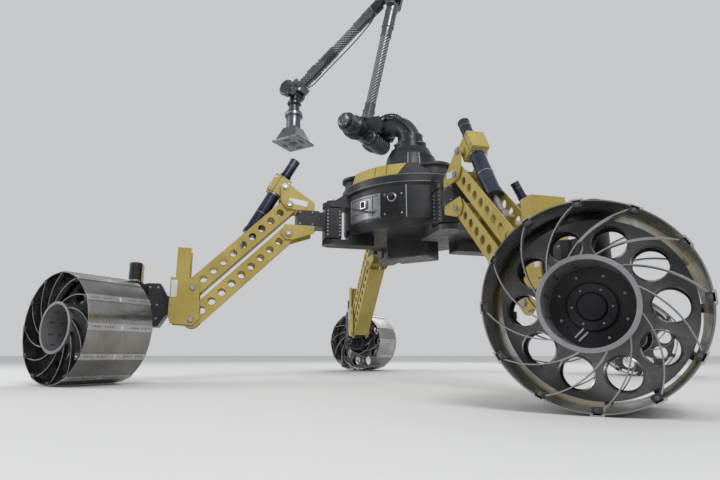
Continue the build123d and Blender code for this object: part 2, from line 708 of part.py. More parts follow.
for leg in LEGS:
    name = leg["name"]
    heading = leg["heading"]
    out = leg["out"]
    upright = side(heading)

    # Swivel head with its beam
    with BuildPart() as swivel:
        with BuildSketch(flat(heading, 0, SWIVEL_LO)):
            RectangleRounded(SWIVEL_L, SWIVEL_W, SWIVEL_CORNER)
        extrude(amount=SWIVEL_HI - SWIVEL_LO)
        with BuildSketch(flat(heading, 0, BEAM_LO)):
            with Locations(((BEAM_START + BEAM_END) / 2, 0)):
                Rectangle(BEAM_END - BEAM_START, 2 * CHEEK_OUT)
            with Locations((BEAM_START / 2, 0)):
                Rectangle(BEAM_START, SWIVEL_W - 2 * NECK_INSET)
        extrude(amount=BEAM_HI - BEAM_LO)
        with BuildSketch(flat(heading, 0, LUG_LO)):
            Circle(SWIVEL_PIN_R)
        extrude(amount=LUG_HI - LUG_LO)
        with BuildSketch(flat(heading, 0, LUG_HI)):
            Circle(SWIVEL_PIN_R + CAP_LIP)
        extrude(amount=CAP_H)
    swivel.part.label = "swivel_" + name
    export_step(swivel.part, "parts/swivel_" + name + ".step")

    # Yellow brackets above and below the beam, with their pins
    with BuildPart() as cheeks:
        with BuildSketch(upright.offset(CHEEK_IN), upright.offset(-CHEEK_OUT)) as wings:
            with BuildLine():
                Polyline(
                    (BRACKET_START, BEAM_HI),
                    (PIVOT_X + 10, BEAM_HI),
                    (PIVOT_X + 36, PIVOT_Z + 16),
                    (TRUN_X + 20, TRUN_Z + 6),
                    (TRUN_X - 2, TRUN_Z + 21),
                    (TRUN_X - 22, TRUN_Z + 8),
                    (BRACKET_START, BEAM_HI + 36),
                    close=True,
                )
            make_face()
            with BuildLine():
                Polyline(
                    (BRACKET_START, BEAM_LO),
                    (PIVOT_X + 18, BEAM_LO),
                    (PIVOT_X + 32, PIVOT_Z - PIN_DROP),
                    (PIVOT_X + 12, PIVOT_Z - PIN_DROP - 28),
                    (PIVOT_X - 20, PIVOT_Z - PIN_DROP - 28),
                    (BRACKET_START, BEAM_LO - 34),
                    close=True,
                )
            make_face()
            fillet(wings.vertices(), BRACKET_CORNER)
        extrude(amount=PLATE)
        with BuildSketch(flat(heading, 0, BEAM_HI), flat(heading, 0, BEAM_LO - PLATE)):
            with Locations(((BEAM_END + BRACKET_START) / 2, 0)):
                Rectangle(BEAM_END - BRACKET_START - 8, 2 * CHEEK_OUT - 1)
        extrude(amount=PLATE)
        with BuildSketch(upright):
            with Locations((PIVOT_X, PIVOT_Z), (PIVOT_X, PIVOT_Z - PIN_DROP), (TRUN_X, TRUN_Z)):
                Circle(PIN_R)
        extrude(amount=CHEEK_OUT + 2, both=True)
        with BuildSketch(upright.offset(CHEEK_OUT), upright.offset(-CHEEK_OUT - WASHER_T)):
            with Locations((PIVOT_X, PIVOT_Z), (PIVOT_X, PIVOT_Z - PIN_DROP)):
                Circle(SLEEVE_R + WASHER_LIP)
        extrude(amount=WASHER_T)
        with BuildSketch(upright.offset(CLAMP_W / 2 + 1), upright.offset(-CHEEK_IN)):
            with Locations((TRUN_X, TRUN_Z)):
                Circle(SLEEVE_R)
        extrude(amount=CHEEK_IN - CLAMP_W / 2 - 1)
    cheeks.part.label = "cheeks_" + name
    export_step(cheeks.part, "parts/cheeks_" + name + ".step")

    # Two perforated bars, each two side plates on a bottom flange
    for bar, drop in (("upper_bar", 0.0), ("lower_bar", PIN_DROP)):
        along = side(heading, PIVOT_X, PIVOT_Z - drop, LIFT)
        with BuildPart() as link:
            with BuildSketch(along.offset(BAR_HALF - PLATE), along.offset(-BAR_HALF)):
                with Locations((BAR_L / 2, 0)):
                    SlotCenterToCenter(BAR_L, BAR_DEPTH)
                    with GridLocations(HOLE_PITCH, 0, HOLE_COUNT, 1):
                        Circle(HOLE_R, mode=Mode.SUBTRACT)
            extrude(amount=PLATE)
            with BuildSketch(along):
                with Locations((BAR_L / 2, -BAR_DEPTH / 2 + PLATE / 2)):
                    Rectangle(BAR_L - 2 * SLEEVE_R, PLATE)
            extrude(amount=BAR_HALF, both=True)
            with BuildSketch(along):
                with Locations((0, 0), (BAR_L, 0)):
                    Circle(SLEEVE_R)
            extrude(amount=BAR_HALF, both=True)
            if bar == "upper_bar":
                with BuildSketch(along):
                    with Locations((EYE_ALONG, 0)):
                        Circle(EYE_PIN_R)
                extrude(amount=BAR_HALF, both=True)
            with BuildSketch(along):
                with Locations((0, 0), (BAR_L, 0)):
                    Circle(PIN_R + PIN_FIT)
            extrude(amount=CHEEK_OUT, both=True, mode=Mode.SUBTRACT)
        link.part.label = bar + "_" + name
        export_step(link.part, "parts/" + bar + "_" + name + ".step")

    # Knee plates, their pins and the upright channel
    with BuildPart() as knee:
        with BuildSketch(upright.offset(CHEEK_IN), upright.offset(-CHEEK_OUT)) as plates:
            with BuildLine():
                Polyline(
                    (KNEE_X + KNEE_OUT, KNEE_Z + KNEE_RISE),
                    (KNEE_X + POST_IN + POST_L, KNEE_Z + KNEE_RISE),
                    (KNEE_X + POST_IN + POST_L, KNEE_Z + KNEE_RISE + POST_H),
                    (KNEE_X + POST_IN, KNEE_Z + KNEE_RISE + POST_H),
                    (KNEE_X + POST_IN, KNEE_Z + KNEE_RISE),
                    (KNEE_X - 18, KNEE_Z + 24),
                    (KNEE_X - 25, KNEE_Z - 4),
                    (KNEE_X - 34, KNEE_Z - PIN_DROP + 4),
                    (KNEE_X - 8, KNEE_Z - PIN_DROP - 24),
                    (KNEE_X + 78, KNEE_Z - PIN_DROP - 18),
                    (KNEE_X + KNEE_OUT, KNEE_Z - PIN_DROP + 12),
                    close=True,
                )
            make_face()
        extrude(amount=PLATE)
        with BuildSketch(upright):
            with Locations((KNEE_X + POST_IN + POST_L - PLATE / 2, KNEE_Z + KNEE_RISE + POST_H / 2)):
                Rectangle(PLATE, POST_H)
        extrude(amount=CHEEK_OUT, both=True)
        with BuildSketch(upright):
            with Locations((KNEE_X, KNEE_Z), (KNEE_X, KNEE_Z - PIN_DROP)):
                Circle(PIN_R)
        extrude(amount=CHEEK_OUT + 2, both=True)
    knee.part.label = "knee_" + name
    export_step(knee.part, "parts/knee_" + name + ".step")

    # Black gear box with the steering head and its motor
    with BuildPart() as gearbox:
        with BuildSketch(upright):
            with BuildLine():
                Polyline(
                    (KNEE_X + KNEE_SEAT, BOX_NECK_HI),
                    (BOX_END - BOX_L_FULL - BOX_TAPER, BOX_NECK_HI),
                    (BOX_END - BOX_L_FULL, BOX_TOP),
                    (BOX_END, BOX_TOP),
                    (BOX_END, BOX_BOTTOM + BOX_FOOT_RISE),
                    (BOX_END - BOX_FOOT_CUT, BOX_BOTTOM),
                    (BOX_END - BOX_L_FULL, BOX_BOTTOM),
                    (BOX_END - BOX_L_FULL - BOX_TAPER, BOX_NECK_LO),
                    (KNEE_X + KNEE_SEAT, BOX_NECK_LO),
                    close=True,
                )
            make_face()
        extrude(amount=CHEEK_IN, both=True)
        end = gearbox.faces().sort_by(Axis(leg_point(heading, 0, 0), upright.x_dir))[-1]
        chamfer(end.edges().filter_by(Axis.Z), BOX_EDGE)
        with BuildSketch(flat(heading, STEER_X - BOX_CLEAR / 2, HEAD_LO + HEAD_SKIRT)):
            Rectangle(BOX_CLEAR + 2 * HEAD_SKIRT, 2 * HEAD_R - HEAD_SKIRT)
        extrude(amount=HEAD_HI - HEAD_LO - 2 * HEAD_SKIRT)
        with BuildSketch(flat(heading, STEER_X, HEAD_LO)):
            Circle(HEAD_R)
        extrude(amount=HEAD_HI - HEAD_LO)
        with BuildSketch(flat(heading, STEER_X, HEAD_HI)):
            Circle(STEER_MOTOR_R)
        extrude(amount=STEER_MOTOR_H)
        with BuildSketch(flat(heading, STEER_X, HEAD_LO)):
            Circle(STEER_PIN_R + PIN_FIT)
        extrude(amount=HEAD_HI - HEAD_LO - HEAD_ROOF, mode=Mode.SUBTRACT)
    gearbox.part.label = "gearbox_" + name
    export_step(gearbox.part, "parts/gearbox_" + name + ".step")

    # Actuator: local x runs from the trunnion towards the eye
    run = side(heading, TRUN_X, TRUN_Z, BARREL_DOWN)
    tube = Plane(origin=run.from_local_coords((0, BARREL_OFF, 0)), x_dir=run.z_dir, z_dir=run.x_dir)
    with BuildPart() as clamp:
        with BuildSketch(tube.offset(-CLAMP_L / 2)):
            Rectangle(CLAMP_W, CLAMP_D)
            Circle(BARREL_R, mode=Mode.SUBTRACT)
        extrude(amount=CLAMP_L)
        with BuildSketch(run):
            Circle(PIN_R + PIN_FIT)
        extrude(amount=CLAMP_W, both=True, mode=Mode.SUBTRACT)
    clamp.part.label = "clamp_" + name
    export_step(clamp.part, "parts/clamp_" + name + ".step")

    with BuildPart() as barrel:
        with BuildSketch(tube.offset(-CLAMP_L / 2)):
            Circle(BARREL_R)
        extrude(amount=CLAMP_L / 2 + EYE_DIST - BARREL_STOP)
        with BuildSketch(tube.offset(EYE_DIST - BARREL_STOP - 20)):
            Circle(BARREL_R + 3)
        extrude(amount=20)
        with BuildSketch(tube.offset(-MOTOR_END)):
            Circle(MOTOR_R)
        extrude(amount=MOTOR_END)
        with BuildSketch(run):
            Circle(PIN_R + PIN_FIT)
        extrude(amount=CLAMP_W, both=True, mode=Mode.SUBTRACT)
        with BuildSketch(tube.offset(60)):
            Circle(ROD_R + PIN_FIT)
        extrude(amount=EYE_DIST, mode=Mode.SUBTRACT)
    barrel.part.label = "barrel_" + name
    export_step(barrel.part, "parts/barrel_" + name + ".step")

    with BuildPart() as rod:
        with BuildSketch(tube.offset(EYE_DIST - BARREL_STOP - 60)):
            Circle(ROD_R)
        extrude(amount=BARREL_STOP + 60 - EYE_R + 3)
        with BuildSketch(run):
            with Locations((EYE_DIST, BARREL_OFF)):
                Circle(EYE_R)
        extrude(amount=EYE_W / 2, both=True)
        with BuildSketch(run):
            with Locations((EYE_DIST, BARREL_OFF)):
                Circle(EYE_BORE)
        extrude(amount=EYE_W, both=True, mode=Mode.SUBTRACT)
    rod.part.label = "rod_" + name
    export_step(rod.part, "parts/rod_" + name + ".step")

    # Steering arm with the wheel's drive; local z looks out of the wheel's open face
    steer_at = leg_point(heading, STEER_X, WHEEL_R)
    axle = Plane(origin=steer_at, x_dir=(-out, 0, 0), z_dir=(0, out, 0))
    with BuildPart() as steering:
        with BuildSketch(axle):
            Circle(ARM_R)
            with Locations((0, (HEAD_LO - WHEEL_R - GAP) / 2)):
                Rectangle(ARM_W, HEAD_LO - WHEEL_R - GAP)
        extrude(amount=ARM_T, both=True)
        with BuildSketch(flat(heading, STEER_X, HEAD_LO - GAP - STEER_CAP_T)):
            Circle(HEAD_R)
        extrude(amount=STEER_CAP_T)
        with BuildSketch(flat(heading, STEER_X, HEAD_LO - 20)):
            Circle(STEER_PIN_R)
        extrude(amount=HEAD_HI - HEAD_LO)
        with BuildSketch(axle):
            Circle(FLANGE_R)
        extrude(amount=WHEEL_OUT - WHEEL_W / 2 + 2)
        with BuildSketch(axle.offset(WHEEL_OUT - WHEEL_W / 2)):
            Circle(DRIVE_R)
        extrude(amount=HUB_PLATE_A - HUB_PLATE_T - GAP - WHEEL_OUT + WHEEL_W / 2)
        with BuildSketch(axle.offset(WHEEL_OUT)):
            Circle(SHAFT_R)
        extrude(amount=HUB_PLATE_A + 6 - WHEEL_OUT)
    steering.part.label = "steering_" + name
    export_step(steering.part, "parts/steering_" + name + ".step")

    face = axle.offset(WHEEL_OUT + WHEEL_W / 2)
    back = axle.offset(WHEEL_OUT - WHEEL_W / 2)
    with BuildPart() as wheel:
        with BuildSketch(back):
            Circle(RIM_OUT)
            Circle(RIM_OUT - RIM_T, mode=Mode.SUBTRACT)
        extrude(amount=WHEEL_W)
        # Seam cleats across the tread
        with BuildSketch(back):
            with PolarLocations(WHEEL_R - CLEAT_H / 2 - RIM_T / 4, SEAMS):
                Rectangle(CLEAT_H + RIM_T / 2, CLEAT_W)
        extrude(amount=WHEEL_W)
        with BuildSketch(face.offset(-HUB_L)):
            Circle(HUB_R)
            Circle(HUB_R - HUB_T, mode=Mode.SUBTRACT)
        extrude(amount=HUB_L)
        with BuildSketch(face.offset(-HUB_LIP)):
            Circle(HUB_R + HUB_LIP)
            Circle(HUB_R - HUB_T, mode=Mode.SUBTRACT)
        extrude(amount=HUB_LIP)
        with BuildSketch(face.offset(-HUB_PLATE_IN - HUB_PLATE_T)):
            Circle(HUB_R - HUB_T / 2)
            Circle(SHAFT_R + PIN_FIT, mode=Mode.SUBTRACT)
        extrude(amount=HUB_PLATE_T)
        with BuildSketch(face.offset(-WEB_IN - WEB_T), face.offset(-WEB_IN - WEB_T - WEB_GAP)):
            Circle(WEB_R)
            Circle(HUB_R - HUB_T / 2, mode=Mode.SUBTRACT)
            with PolarLocations(WEB_HOLE_PCR, WEB_HOLES):
                Circle(WEB_HOLE_R, mode=Mode.SUBTRACT)
        extrude(amount=WEB_T)
        with BuildSketch(face.offset(-WEB_IN - WEB_T - WEB_GAP)):
            Circle(WEB_R)
            Circle(WEB_R - WEB_T, mode=Mode.SUBTRACT)
        extrude(amount=WEB_GAP + WEB_T)
        with BuildSketch(face.offset(-STRIP_IN - STRIP_W), back.offset(STRIP_IN)):
            with PolarLocations(0, SEAMS):
                add(strip.sketch)
        extrude(amount=STRIP_W)
    wheel.part.label = "wheel_" + name
    export_step(wheel.part, "parts/wheel_" + name + ".step")
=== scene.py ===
"""Looks of the four-legged wheeled rover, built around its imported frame. Units are metres."""
import json
from math import atan2, cos, degrees, pi, radians, sin, tau

import bpy
from mathutils import Matrix, Vector


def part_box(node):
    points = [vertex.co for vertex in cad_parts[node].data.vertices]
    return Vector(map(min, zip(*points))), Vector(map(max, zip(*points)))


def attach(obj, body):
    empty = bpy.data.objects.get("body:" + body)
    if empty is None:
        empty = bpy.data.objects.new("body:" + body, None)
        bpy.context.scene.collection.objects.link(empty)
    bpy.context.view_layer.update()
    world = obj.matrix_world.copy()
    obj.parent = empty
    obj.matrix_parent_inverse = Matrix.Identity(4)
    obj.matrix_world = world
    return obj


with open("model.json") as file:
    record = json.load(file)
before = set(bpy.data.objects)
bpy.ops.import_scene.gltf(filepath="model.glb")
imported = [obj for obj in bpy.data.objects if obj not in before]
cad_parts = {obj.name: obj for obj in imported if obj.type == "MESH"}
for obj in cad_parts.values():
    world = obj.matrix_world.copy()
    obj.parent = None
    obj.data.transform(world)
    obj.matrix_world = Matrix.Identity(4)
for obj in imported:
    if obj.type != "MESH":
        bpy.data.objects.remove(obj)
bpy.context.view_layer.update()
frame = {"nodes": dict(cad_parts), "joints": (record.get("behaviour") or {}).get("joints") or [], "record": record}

NODES = frame["nodes"]
JOINTS = {joint["name"]: joint for joint in frame["joints"]}
LEG_NAMES = ("front_left", "rear_left", "rear_right", "front_right")

# Sizes shared with the frame, in metres and degrees
CHEEK_FACE = 0.054
BEAM_TOP = 0.738
BEAM_BOTTOM = 0.668
SWIVEL_HALF_W = 0.045
SWIVEL_SCREWS = 8
SWIVEL_SCREW_LOW = 0.636
SWIVEL_SCREW_STEP = 0.0158
WASHER_T = 0.002
LUG_TOP = 0.790
BAR_FACE = 0.045
BAR_SLOPE = 45
HOLE_PITCH = 0.054
HOLE_COUNT = 9
HOLE_R = 0.0160
LIP_R = 0.0178
BOX_HALF = 0.050
BOX_TOP = 0.388
BOX_CLEAR = 0.050
BARREL_OFF = 0.026
BARREL_R = 0.028
CLAMP_HALF_W = 0.034
CLAMP_L = 0.085
CLAMP_SCREW = 0.026
CLAMP_SCREW_HIGH = 0.032
MOTOR_R = 0.022
HEAD_TOP = 0.395
STEER_MOTOR_R = 0.024
STEER_MOTOR_TOP = 0.475
STEER_ARM_T = 0.022
WHEEL_OUT = 0.175
HUB_R = 0.086
HUB_BORE = 0.082
HUB_PLATE_IN = 0.100
RIM_EDGE = 0.1945
RIM_SKIN = 0.197
CLEAT_TOP = 0.200
SEAMS = 12
RIVET_STEP = 0.0085
BRACKET_T = 0.012
BRACKET_SCREW = 0.190
WEB_IN = 0.112
WEB_GAP = 0.046
WEB_HOLES = 10
WEB_HOLE_R = 0.033
WEB_HOLE_PCR = 0.137
BODY_R = 0.331
PANEL_T = 0.005
PANEL_PROUD = 0.002
PANEL_LO = 0.675
PANEL_HI = 0.788
PANEL_FROM = 239.5
PANEL_TO = 270.5
PANEL_POST = 263.0
PANEL_BOX = 255.7
PORT_Z = 0.745
KNOB_TURN = 279.2
SEAM_TURN = 290
RIM_LOW = 0.822
RIM_HIGH = 0.860
DECK_R = 0.315
DECK_Z = 0.915
DECK_SCREWS = 48
HOUSING_SPAN = 20
ROOF_FROM = 240.3
ROOF_TO = 300.2
SHIELD_LOW = 283.5
SHIELD_HIGH = 290.6
FLANGE_T = 0.008
CONE_R = 0.150
CONE_EDGE_R = 0.122
CONE_EDGE_Z = 1.045
RING_R = 0.080
RING_TOP_Z = 1.128
UPPER_LEAN = 14.3
FORE_DROP = 33.9
CASTING_R = 0.052
COLLAR_R = 0.066
COLLAR_H = 0.050
COLLAR_PROUD = 0.0016
SHOULDER_R = 0.050
DRUM_IN = 0.076
DRUM_END = 0.200
RIB_L = 0.006
ARM_MOTOR_X = 0.076
ARM_MOTOR_Z = -0.062
ARM_MOTOR_R = 0.044
ARM_MOTOR_END = 0.072
TUBE_R = 0.028
SLEEVE_R = 0.032
UPPER_SLEEVE_END = 0.130
UPPER_TUBE_END = 0.607
ELBOW_FACE = 0.048
FORE_SLEEVE_END = 0.240
FORE_RINGS = 0.573
BELLOWS_R = 0.0335
BELLOWS_STEP = 0.010
FORE_TUBE_END = 0.763
WRIST_CAP_FACE = 0.082
WRIST_CAP_R = 0.048
WRIST_FACE = 0.062
NECK_R = 0.030
TOOL_RING_R = 0.052
TOOL_RING_H = 0.020
TOOL_BODY_R = 0.043

# Sizes that only the looks have
CABLE_R = 0.0042
CORD_R = 0.0028
HOSE_R = 0.0026
WEAVE_R = 0.030
WEAVE_PITCH = 0.018
ARC_STEPS = 14
SHARP_EDGE = 32

# Places of the colours among the mix node's sockets
MIX_A = 6
MIX_B = 7
MIX_RESULT = 2

# The photograph's camera
LENS = 25.33
CAMERA_AT = (0.966, -2.179, 0.106)
CAMERA_UP = 12.8
CAMERA_TURN = 30


def pin(joint):
    """Where a joint turns."""
    return Vector(JOINTS[joint]["pos_m"])


def mixed(colour, share, other):
    """The colour moved by a share towards another."""
    return tuple(a + (b - a) * share for a, b in zip(colour, other))


class Shader:
    """A node material with a Principled shader and short calls for the usual nodes."""

    def __init__(self, name, colour, metallic, roughness):
        self.material = bpy.data.materials.new(name)
        self.material.use_nodes = True
        self.nodes = self.material.node_tree.nodes
        self.links = self.material.node_tree.links
        self.bsdf = self.nodes["Principled BSDF"]
        self.put("Base Color", (*colour, 1))
        self.put("Metallic", metallic)
        self.put("Roughness", roughness)
        self.coords = self.node("TexCoord", {}).outputs["Object"]

    def feed(self, node, inputs):
        """The inputs of a node: a socket is linked, anything else is a value."""
        for key, value in inputs.items():
            if isinstance(value, bpy.types.NodeSocket):
                self.links.new(value, node.inputs[key])
            else:
                node.inputs[key].default_value = value

    def put(self, key, value):
        self.feed(self.bsdf, {key: value})

    def node(self, kind, inputs, **values):
        """A new node with its settings and its inputs."""
        made = self.nodes.new("ShaderNode" + kind)
        for key, value in values.items():
            setattr(made, key, value)
        self.feed(made, inputs)
        return made

    def noise(self, scale, detail, stretch=None):
        coords = self.coords
        if stretch:
            coords = self.node("Mapping", {"Vector": coords, "Scale": stretch}).outputs["Vector"]
        inputs = {"Vector": coords, "Scale": scale, "Detail": detail}
        return self.node("TexNoise", inputs).outputs["Fac"]

    def span(self, value, low, high, to_low=0.0, to_high=1.0):
        inputs = {"Value": value, "From Min": low, "From Max": high, "To Min": to_low, "To Max": to_high}
        return self.node("MapRange", inputs).outputs["Result"]

    def maths(self, operation, first, second=0.0):
        return self.node("Math", {0: first, 1: second}, operation=operation).outputs["Value"]

    def vectors(self, operation, first, second):
        return self.node("VectorMath", {0: first, 1: second}, operation=operation).outputs

    def blend(self, share, first, second):
        """A colour mix, where each colour is a socket or three numbers."""
        first, second = ((*c, 1) if isinstance(c, tuple) else c for c in (first, second))
        made = self.node("Mix", {"Factor": share, MIX_A: first, MIX_B: second}, data_type="RGBA")
        return made.outputs[MIX_RESULT]

    def edges(self, radius=0.0015):
        """A mask of the outer edges, and the softened normal that it comes from."""
        soft = self.node("Bevel", {"Radius": radius}, samples=4).outputs["Normal"]
        normal = self.node("NewGeometry", {}).outputs["Normal"]
        return self.span(self.vectors("DOT_PRODUCT", soft, normal)["Value"], 0.995, 0.90), soft

    def upward(self):
        """How far the surface looks up, from 0 to 1."""
        normal = self.node("NewGeometry", {}).outputs["Normal"]
        split = self.node("SeparateXYZ", {"Vector": normal})
        return self.span(split.outputs["Z"], 0.2, 1.0)

    def bump(self, height, strength, distance, normal=None):
        inputs = {"Height": height, "Strength": strength, "Distance": distance}
        if normal is not None:
            inputs["Normal"] = normal
        self.put("Normal", self.node("Bump", inputs).outputs["Normal"])


DUST = (0.42, 0.40, 0.37)
BLACKEST = (0, 0, 0)
WHITEST = (1, 1, 1)


def painted(name, colour, worn, roughness, dust, metallic=0.0, wear=0.6, coat=0.0, shine=0.5):
    """Paint or anodising: mottled, worn bright along its edges, a little dust on what looks up."""
    s = Shader(name, colour, metallic, roughness)
    s.put("Specular IOR Level", shine)
    s.put("Coat Weight", coat)
    s.put("Coat Roughness", 0.25)
    mottle = s.span(s.noise(7.0, 6.0), 0.35, 0.65)
    base = s.blend(mottle, mixed(colour, 0.16, BLACKEST), mixed(colour, 0.05, WHITEST))
    scuffs = s.span(s.noise(90.0, 3.0, stretch=(1, 1, 0.25)), 0.62, 0.74, 0.0, 0.35)
    base = s.blend(scuffs, base, mixed(colour, 0.35, worn))
    edge, soft_normal = s.edges()
    broken = s.maths("MULTIPLY", edge, s.span(s.noise(60.0, 5.0), 0.40, 0.60, 0.0, wear))
    base = s.blend(broken, base, worn)
    film = s.maths("MULTIPLY", s.upward(), s.span(s.noise(22.0, 6.0), 0.35, 0.75, 0.0, dust))
    base = s.blend(film, base, DUST)
    s.put("Base Color", base)
    s.put("Roughness", s.span(s.noise(25.0, 5.0), 0.3, 0.7, roughness - 0.07, roughness + 0.12))
    s.bump(s.noise(420.0, 2.0), 0.10, 0.0006, soft_normal)
    return s.material


def sheet_steel(name, colour, roughness, brushing, waves):
    """Bright sheet steel, brushed one way, slightly wavy, with smears."""
    s = Shader(name, colour, 1.0, roughness)
    brushed = s.noise(130.0, 3.0, stretch=brushing)
    smear = s.span(s.noise(9.0, 5.0), 0.35, 0.7)
    base = s.blend(smear, mixed(colour, 0.22, BLACKEST), mixed(colour, 0.10, WHITEST))
    base = s.blend(s.span(brushed, 0.4, 0.75, 0.0, 0.25), base, mixed(colour, 0.4, BLACKEST))
    s.put("Base Color", base)
    rough = s.span(brushed, 0.3, 0.7, roughness - 0.06, roughness + 0.08)
    s.put("Roughness", s.maths("ADD", rough, s.span(smear, 0.0, 1.0, 0.10, 0.0)))
    edge, soft_normal = s.edges(0.0008)
    fine = s.maths("MULTIPLY", brushed, 0.01)
    broad = s.maths("MULTIPLY", s.noise(5.0, 1.0), waves)
    s.bump(s.maths("ADD", fine, broad), 0.2, 0.004, soft_normal)
    return s.material


def woven(name, direction, origin):
    """A braided sleeve of dark fibre round a tube, its weave laid on the tube's own cylinder; the weave is real,
    the light colour of the strands that lie over is painted sheen.
    """
    s = Shader(name, (0.05, 0.05, 0.055), 0.25, 0.3)
    s.put("Coat Weight", 0.6)
    s.put("Coat Roughness", 0.12)
    along = Vector(direction).normalized()
    across = Vector((0, 1, 0))
    axes = (along, across, along.cross(across))
    away = s.vectors("SUBTRACT", s.coords, origin)["Vector"]
    along, across, third = (s.vectors("DOT_PRODUCT", away, axis)["Value"] for axis in axes)
    strands = round(tau * WEAVE_R / WEAVE_PITCH)
    turn = s.maths("MULTIPLY", s.maths("ARCTAN2", across, third), strands)
    run = s.maths("MULTIPLY", along, tau / WEAVE_PITCH)
    right = s.maths("SINE", s.maths("ADD", run, turn))
    left = s.maths("SINE", s.maths("SUBTRACT", run, turn))
    over = s.span(s.maths("ADD", right, s.maths("MULTIPLY", left, 0.45)), -0.5, 0.5)
    # Strands that lie over are coloured light: painted sheen on the dark fibre, over a real weave.
    s.put("Base Color", s.blend(over, (0.006, 0.007, 0.010), (0.34, 0.35, 0.37)))
    s.put("Roughness", s.span(over, 0.0, 1.0, 0.55, 0.24))
    s.bump(over, 0.35, 0.0010)
    return s.material


YELLOW = painted("yellow_paint", (0.48, 0.36, 0.058), (0.62, 0.60, 0.52), 0.42, dust=0.18, coat=0.15)
BLACK = painted(
    "black_paint", (0.009, 0.010, 0.013), (0.17, 0.17, 0.18), 0.34, dust=0.02, wear=0.35, shine=0.3
)
SATIN = painted(
    "satin_black", (0.030, 0.032, 0.038), (0.30, 0.31, 0.33), 0.27, metallic=0.65, dust=0.04, wear=0.5
)
TUBE = painted(
    "dark_anodised", (0.040, 0.046, 0.085), (0.34, 0.35, 0.38), 0.22, metallic=0.85, dust=0.03, wear=0.4
)
GREY = painted(
    "grey_panel", (0.24, 0.245, 0.26), (0.60, 0.61, 0.63), 0.38, metallic=0.7, dust=0.35, wear=0.7
)
DEEP = painted("recess_black", (0.006, 0.006, 0.007), (0.03, 0.03, 0.03), 0.7, dust=0.0, wear=0.1)
PLATE = painted("bare_plate", (0.70, 0.71, 0.72), (0.80, 0.80, 0.80), 0.45, dust=0.05, wear=0.2)
RUBBER = painted("cable_rubber", (0.012, 0.012, 0.013), (0.05, 0.05, 0.05), 0.55, dust=0.10, wear=0.1)
STEEL = sheet_steel("strip_steel", (0.46, 0.45, 0.44), 0.18, (0.2, 1.0, 0.2), 0.5)
RIM_STEELS = [
    sheet_steel("rim_steel_" + tone, colour, roughness, (0.1, 1.0, 0.1), 0.3)
    for tone, colour, roughness in (
        ("bright", (0.40, 0.39, 0.38), 0.12),
        ("warm", (0.32, 0.30, 0.28), 0.16),
        ("dull", (0.25, 0.245, 0.24), 0.21),
    )
]
CLEAT_STEEL = sheet_steel("cleat_steel", (0.60, 0.59, 0.58), 0.24, (0.1, 1.0, 0.1), 0.3)
# Steel of the wheel's webs, its tone darkened as painted shade of the wheel's inside.
SHADED_WEB_STEEL = sheet_steel("web_steel", (0.12, 0.12, 0.125), 0.30, (1.0, 0.3, 1.0), 0.3)
HUB_STEEL = painted(
    "hub_alloy", (0.31, 0.31, 0.32), (0.62, 0.62, 0.62), 0.34, metallic=0.55, dust=0.05, wear=0.4
)
SCREW = sheet_steel("screw_steel", (0.50, 0.50, 0.51), 0.30, (1.0, 1.0, 1.0), 0.1)
DARK_SCREW = sheet_steel("dark_screw", (0.14, 0.14, 0.15), 0.34, (1.0, 1.0, 1.0), 0.1)
ARM_METAL = painted(
    "arm_metal", (0.15, 0.155, 0.17), (0.42, 0.42, 0.44), 0.24, metallic=0.95, dust=0.02, wear=0.5
)
UP_DIR = (sin(radians(UPPER_LEAN)), 0, cos(radians(UPPER_LEAN)))
FORE_DIR = (-cos(radians(FORE_DROP)), 0, -sin(radians(FORE_DROP)))
UPPER_WEAVE = woven("upper_weave", UP_DIR, pin("arm_shoulder"))
FORE_WEAVE = woven("fore_weave", FORE_DIR, pin("arm_elbow"))

SLOT_LOOKS = {"yellow": YELLOW, "black": BLACK, "dark_tube": TUBE, "steel": STEEL}
SLOT_LOOKS |= {"grey_panel": GREY, "arm_black": SATIN, "carbon": UPPER_WEAVE}


def give_looks(mesh, looks):
    """The finishes of a mesh, in the order of its slots."""
    mesh.materials.clear()
    for look in looks:
        mesh.materials.append(look)


def dress_nodes():
    """Every frame node gets the finish of its material slot, and a few of them others too."""
    for row in frame["record"]["subparts"]:
        give_looks(NODES[row["node"]].data, [SLOT_LOOKS[row["material_slot"]]])
    dress_tube("arm_upper", "arm_shoulder", UP_DIR, UPPER_SLEEVE_END, UPPER_TUBE_END, UPPER_WEAVE)
    dress_tube("arm_forearm", "arm_elbow", FORE_DIR, FORE_SLEEVE_END, FORE_TUBE_END, FORE_WEAVE)
    plate = NODES["arm_plate"].data
    give_looks(plate, [ARM_METAL, GREY])
    for face in plate.polygons:
        if face.normal.z < -0.9:
            face.material_index = 1
    NODES["turret_base"].data.materials[0] = SATIN


def dress_tube(node_name, joint, direction, low, high, weave):
    """Weave on the tube's own span, plain metal on the sleeves and forks of the same node."""
    node = NODES[node_name]
    origin = pin(joint)
    direction = Vector(direction)
    give_looks(node.data, [ARM_METAL, weave])
    place = node.matrix_world
    turn = place.to_3x3()
    for face in node.data.polygons:
        corners = [place @ node.data.vertices[k].co - origin for k in face.vertices]
        alongs = [corner.dot(direction) for corner in corners]
        away = [(corner - direction * along).length for corner, along in zip(corners, alongs)]
        flat = abs((turn @ face.normal).normalized().dot(direction))
        inside = low - 0.002 <= min(alongs) and max(alongs) <= high + 0.002
        tube = max(abs(value - TUBE_R) for value in away) < 0.0008
        face.material_index = int(inside and tube and flat < 0.2)


